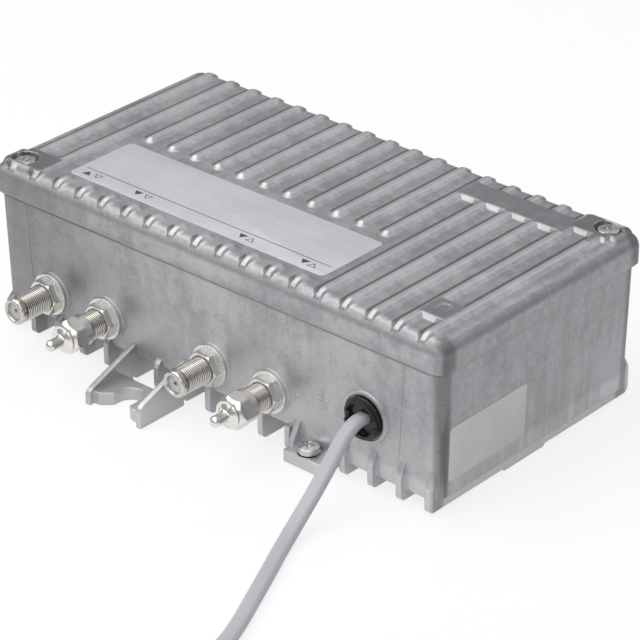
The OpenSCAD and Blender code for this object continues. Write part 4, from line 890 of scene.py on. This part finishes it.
def cap_grid(x, roll):
    """The cap's grid: each row is a circle of the profile's radius, clipped on hex rows to the six flats."""
    t = np.linspace(0, 2 * np.pi, CAP_SIDES, endpoint=False)[None, :]
    flats = CAP_FLAT / np.cos((t - math.radians(roll) + np.pi / 6) % (np.pi / 3) - np.pi / 6)
    ball = np.radians(np.linspace(-18, 86, 12))
    dome = np.linspace(0, 1, 14)
    y = np.concatenate([[-70.4, -61.4, -61.0, -61.0, -61.3, -63.4, -63.6, -63.75, -64.2],
                        np.linspace(-64.4, -67.0, 3), -67.2 - 4.2 * dome,
                        [-71.45, -71.7, -72.1, -73.0, -74.0, -74.8], -75.6 - 2.0 * np.sin(ball)])
    r = np.concatenate([[4.82, 4.82, 5.0, 5.2, 5.5, 5.5, 5.5, 5.75, 6.3],
                        [9.0] * 3, 6.35 - 3.9 * dome ** 1.7,
                        [2.2, 2.0, 1.92, 1.9, 1.9, 1.9], 2.0 * np.cos(ball)])
    row = np.arange(len(y))[:, None]
    r = np.where((row >= FIRST_HEX) & (row <= LAST_HEX), np.minimum(r[:, None], flats), r[:, None])
    return lathe(x, PORT_Z, y, r, CAP_SIDES)


for k, roll in ((2, 8.0), (4, 21.0)):
    grid = cap_grid(PORTS[k - 1], roll)
    cap = link_mesh(f"end_cap_{k}", placed(grid), capped_faces(*grid.shape[:2]), sharp=26)
    cap.data.materials.append(nickel)
    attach(cap, f"cap_shell_{k}")
    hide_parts(f"cap_shell_{k}")
core_plastic = mottled("cap_core_plastic", (0.72, 0.72, 0.70), (0.80, 0.80, 0.78), 400.0, (0.4, 0.55))
dress(core_plastic, "cap_core_2", "cap_core_4")

# Earth terminal.
# A zinc-plated clamp screw with its washer. It is screwed down into a ledge that is cast in one with the
# housing.
EARTH_SCREW = {"x": 46.6, "y": -53.5, "z": 6.2, "head_r": 3.6, "head_h": 2.4, "length": 4.6}
screw("earth_screw_head", "earth_screw", turned=35, **EARTH_SCREW)
dress(zinc, "earth_washer")

# Strain relief.
# A black moulded bush snapped into the front wall: a stepped collar with two latch notches and a hollow
# mouth, through which the flat lead leaves.
BUSH_X, BUSH_Z, BUSH_SIDES = 67.2, 25.2, 96
FIRST_LIP, LAST_LIP, NOTCH_DEPTH = 11, 16, 0.9
bush_y = np.array([-43.4, -43.4, -46, -46.3, -47.5, -47.5, -50, -50, -50.25, -51.3, -51.6, -51.7, -52.5,
                   -52.85, -53, -52.95, -52.6, -51.6, -50.6, -50.4])
bush_r = np.array([3.2, 6.2, 6.2, 6.7, 6.7, 6.25, 6.25, 7.2, 7.4, 7.4, 7.2, 6.9, 6.75,
                   6.6, 6.2, 5.7, 5.45, 5.3, 5.2, 3.2])
t = np.linspace(0, 2 * np.pi, BUSH_SIDES, endpoint=False)[None, :]
notch = ease((np.abs(np.cos(t)) - 0.965) / 0.012)
row = np.arange(len(bush_y))[:, None]
lip = (row >= FIRST_LIP) & (row <= LAST_LIP)
grid = lathe(BUSH_X, BUSH_Z, bush_y[:, None] + lip * notch * NOTCH_DEPTH, bush_r, BUSH_SIDES)
collar = link_mesh("cord_bush", placed(grid), capped_faces(*grid.shape[:2]), sharp=32)
collar.data.materials.append(mottled("black_bush_nylon", (0.006, 0.006, 0.007), (0.012, 0.012, 0.013), 300.0,
                                     (0.12, 0.22), depth=0.00002, Specular_IOR_Level=0.35))
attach(collar, "base")
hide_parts("strain_relief")

# Plug and strap.
# A flat two-pin plug moulded on the lead, in the same grey as its jacket, with sleeved pins of plated brass.
# A white woven strap holds the coil together.
plug_grey = mottled("grey_plug_body", (0.41, 0.41, 0.45), (0.47, 0.47, 0.51), 120.0, (0.42, 0.6), 1700.0,
                    0.00008)
dress(plug_grey, "mains_plug")
pin_finish, here, shader = new_finish("plug_pin", Metallic=1.0)
sleeve = here.axis("X").step(5.0 * MM, 5.2 * MM)
wear = here.noise(500.0, 3.0)
feed(shader, Base_Color=sleeve.tint(wear.tint((0.62, 0.60, 0.56), (0.74, 0.72, 0.68)), (0.06, 0.06, 0.065)),
     Metallic=1 - sleeve, Roughness=sleeve * 0.25 + wear * 0.15 + 0.15)
dress(pin_finish, "plug_pins")
strap, here, shader = new_finish("woven_strap", Roughness=0.8)
warp = here.noise(1500.0, 2.0, 0.5, (0.2, 1.0, 0.2))
weft = here.noise(1500.0, 2.0, 0.5, (1.0, 0.2, 1.0))
cloth = (warp * 0.5 + weft * 0.5).step(0.35, 0.65)
feed(shader, Base_Color=cloth.tint((0.55, 0.55, 0.54), (0.72, 0.72, 0.70)),
     Normal=(warp + weft).bump(0.00015, 0.5))
dress(strap, "cord_tie")

# Boards.
# Two green glass-epoxy boards on posts in the housing, with copper tracks under the lacquer and tinned
# pads, each held by small screws.
laminate, here, shader = new_finish("green_board", Specular_IOR_Level=0.5)
cells = here.node("ShaderNodeTexVoronoi", {"feature": "DISTANCE_TO_EDGE"}, {"Vector": here, "Scale": 190.0})
dots = here.node("ShaderNodeTexVoronoi", None, {"Vector": here, "Scale": 260.0})
track = cells.step(0.10, 0.06)
pad = dots.step(0.22, 0.18)
lacquer = track.tint((0.020, 0.150, 0.060), (0.045, 0.235, 0.095))
weave = here.noise(1800.0, 2.0)
feed(shader, Base_Color=pad.tint(lacquer, (0.62, 0.62, 0.61)), Metallic=pad, Roughness=weave * 0.2 + 0.25,
     Normal=(track + pad * 0.6).bump(0.00005, 0.6))
dress(laminate, "signal_board", "power_board")
dress(zinc, "board_screws")

# Signal stage.
# Tinplate screening walls and filter cans soldered to the board, moulded amplifier modules with a metal
# heat spreader, and four blue trimmers with white rotors.
tinplate = mottled("tinplate", (0.55, 0.55, 0.54), (0.70, 0.69, 0.67), 160.0, (0.24, 0.42), 1900.0, 0.00004,
                   Metallic=1.0)
dress(tinplate, "shield_frame", "filter_cans")


def two_part(name, split, low, high, metal_low, metal_high):
    """A piece of two materials: low below the height split in metres, high above it, each speckled."""
    made, here, shader = new_finish(name)
    above = here.axis("Z").step(split - 0.00005, split + 0.00005)
    speckle = here.noise(1300.0, 3.0, 0.6)
    colour = above.tint(low, high)
    dark = here.node("ShaderNodeMix", {"data_type": "RGBA", "blend_type": "MULTIPLY"},
                     {"Factor": 0.35, 6: colour, 7: speckle.tint((0.55, 0.55, 0.55), (1.0, 1.0, 1.0))}, 2)
    feed(shader, Base_Color=dark, Metallic=above * (metal_high - metal_low) + metal_low,
         Roughness=speckle * 0.2 + 0.3, Normal=speckle.bump(0.00004, 0.3))
    return made


def level(node, up):
    """A height in metres: millimetres up from a node's foot, or down from its top where negative."""
    low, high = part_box(node)
    return (low[2] + up * MM) if up > 0 else (high[2] + up * MM)


spreader_top = level("amplifier_chips", 1.42)
chip_module = two_part("chip_module", spreader_top, (0.66, 0.66, 0.65), (0.022, 0.022, 0.024), 1.0, 0.0)
dress(chip_module, "amplifier_chips")
case_blue = mottled("trimmer_case_blue", (0.05, 0.12, 0.42), (0.08, 0.17, 0.50), 500.0, (0.28, 0.4))
dress(case_blue, "trimmer_cases")
dress(mottled("trimmer_rotor_white", (0.70, 0.70, 0.67), (0.80, 0.80, 0.77), 600.0, (0.35, 0.5)),
      *(f"trimmer_rotor_{k}" for k in range(1, 5)))

# Power stage.
# A switched supply: terminal block, wired from the lead, then fuse, suppression capacitor, choke, bulk
# capacitor, transistor, transformer and three smoothing capacitors.
CAN_TOP = (0.66, 0.66, 0.66)


def from_middle(here, node):
    """X and Y of Object coordinates, in metres, counted from the middle of a node's box."""
    low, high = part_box(node)
    return here.axis("X") - (low[0] + high[0]) / 2, here.axis("Y") - (low[1] + high[1]) / 2


wire, here, shader = new_finish("mains_wire_jackets", Roughness=0.45)
scuff = here.noise(800.0, 3.0)
brown = scuff.tint((0.16, 0.075, 0.035), (0.21, 0.10, 0.05))
blue = scuff.tint((0.04, 0.11, 0.38), (0.06, 0.15, 0.46))
right_hand = here.axis("X").step((BUSH_X - 0.1) * MM, (BUSH_X + 0.1) * MM)
feed(shader, Base_Color=right_hand.tint(brown, blue), Roughness=scuff * 0.2 + 0.35)
dress(wire, "mains_wires")
dress(mottled("terminal_green", (0.04, 0.24, 0.12), (0.06, 0.30, 0.16), 300.0, (0.35, 0.5)), "terminal_block")
glass, here, shader = new_finish("fuse_glass_and_ends", Specular_IOR_Level=0.6)
low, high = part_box("fuse")
length = high[1] - low[1]
ends = abs(here.axis("Y") - (low[1] + high[1]) / 2).step(length * 0.28, length * 0.29)
film = here.noise(700.0, 3.0)
tube = film.tint((0.60, 0.62, 0.62), (0.72, 0.74, 0.74))
feed(shader, Base_Color=ends.tint(tube, film.tint((0.60, 0.58, 0.54), (0.74, 0.72, 0.68))),
     Metallic=ends, Roughness=film * 0.15 + 0.1)
dress(glass, "fuse")
film_yellow = mottled("film_capacitor_yellow", (0.62, 0.46, 0.06), (0.72, 0.55, 0.10), 260.0, (0.3, 0.45))
dress(film_yellow, "mains_capacitor")
winding, here, shader = new_finish("enamelled_copper", Metallic=0.8)
dx, dy = from_middle(here, "choke")
strand = (dy.math("ARCTAN2", dx) * 44.0).math("SINE")
blur = here.noise(600.0, 3.0)
feed(shader, Base_Color=(strand * 0.35 + blur * 0.5 + 0.25).tint((0.22, 0.07, 0.025), (0.62, 0.27, 0.10)),
     Roughness=blur * 0.2 + 0.25, Normal=strand.bump(0.0003, 0.7))
dress(winding, "choke")
bulk_top = level("bulk_capacitor", -0.35)
bulk_sleeve = two_part("bulk_capacitor_sleeve", bulk_top, (0.030, 0.030, 0.034), CAN_TOP, 0.0, 0.9)
dress(bulk_sleeve, "bulk_capacitor")
small_top = level("smoothing_capacitors", -0.3)
small_sleeve = two_part("smoothing_sleeve", small_top, (0.020, 0.035, 0.13), CAN_TOP, 0.0, 0.9)
dress(small_sleeve, "smoothing_capacitors")
core, here, shader = new_finish("ferrite_and_tape")
dx, dy = from_middle(here, "transformer")
out = (dx * dx + dy * dy).math("SQRT")
above = here.axis("Z").step(level("transformer", 3.1), level("transformer", 3.2))
tape = out.band(6.85 * MM, 6.9 * MM, 7.08 * MM, 7.12 * MM) * above
pores = here.noise(1600.0, 3.0)
ferrite = pores.tint((0.035, 0.035, 0.037), (0.065, 0.065, 0.068))
feed(shader, Base_Color=tape.tint(ferrite, pores.tint((0.58, 0.42, 0.05), (0.68, 0.50, 0.08))),
     Roughness=pores * 0.25 + 0.4, Normal=pores.bump(0.00005, 0.4))
dress(core, "transformer")
epoxy = mottled("transistor_epoxy", (0.020, 0.020, 0.022), (0.034, 0.034, 0.036), 400.0, (0.4, 0.6))
dress(epoxy, "power_transistor")
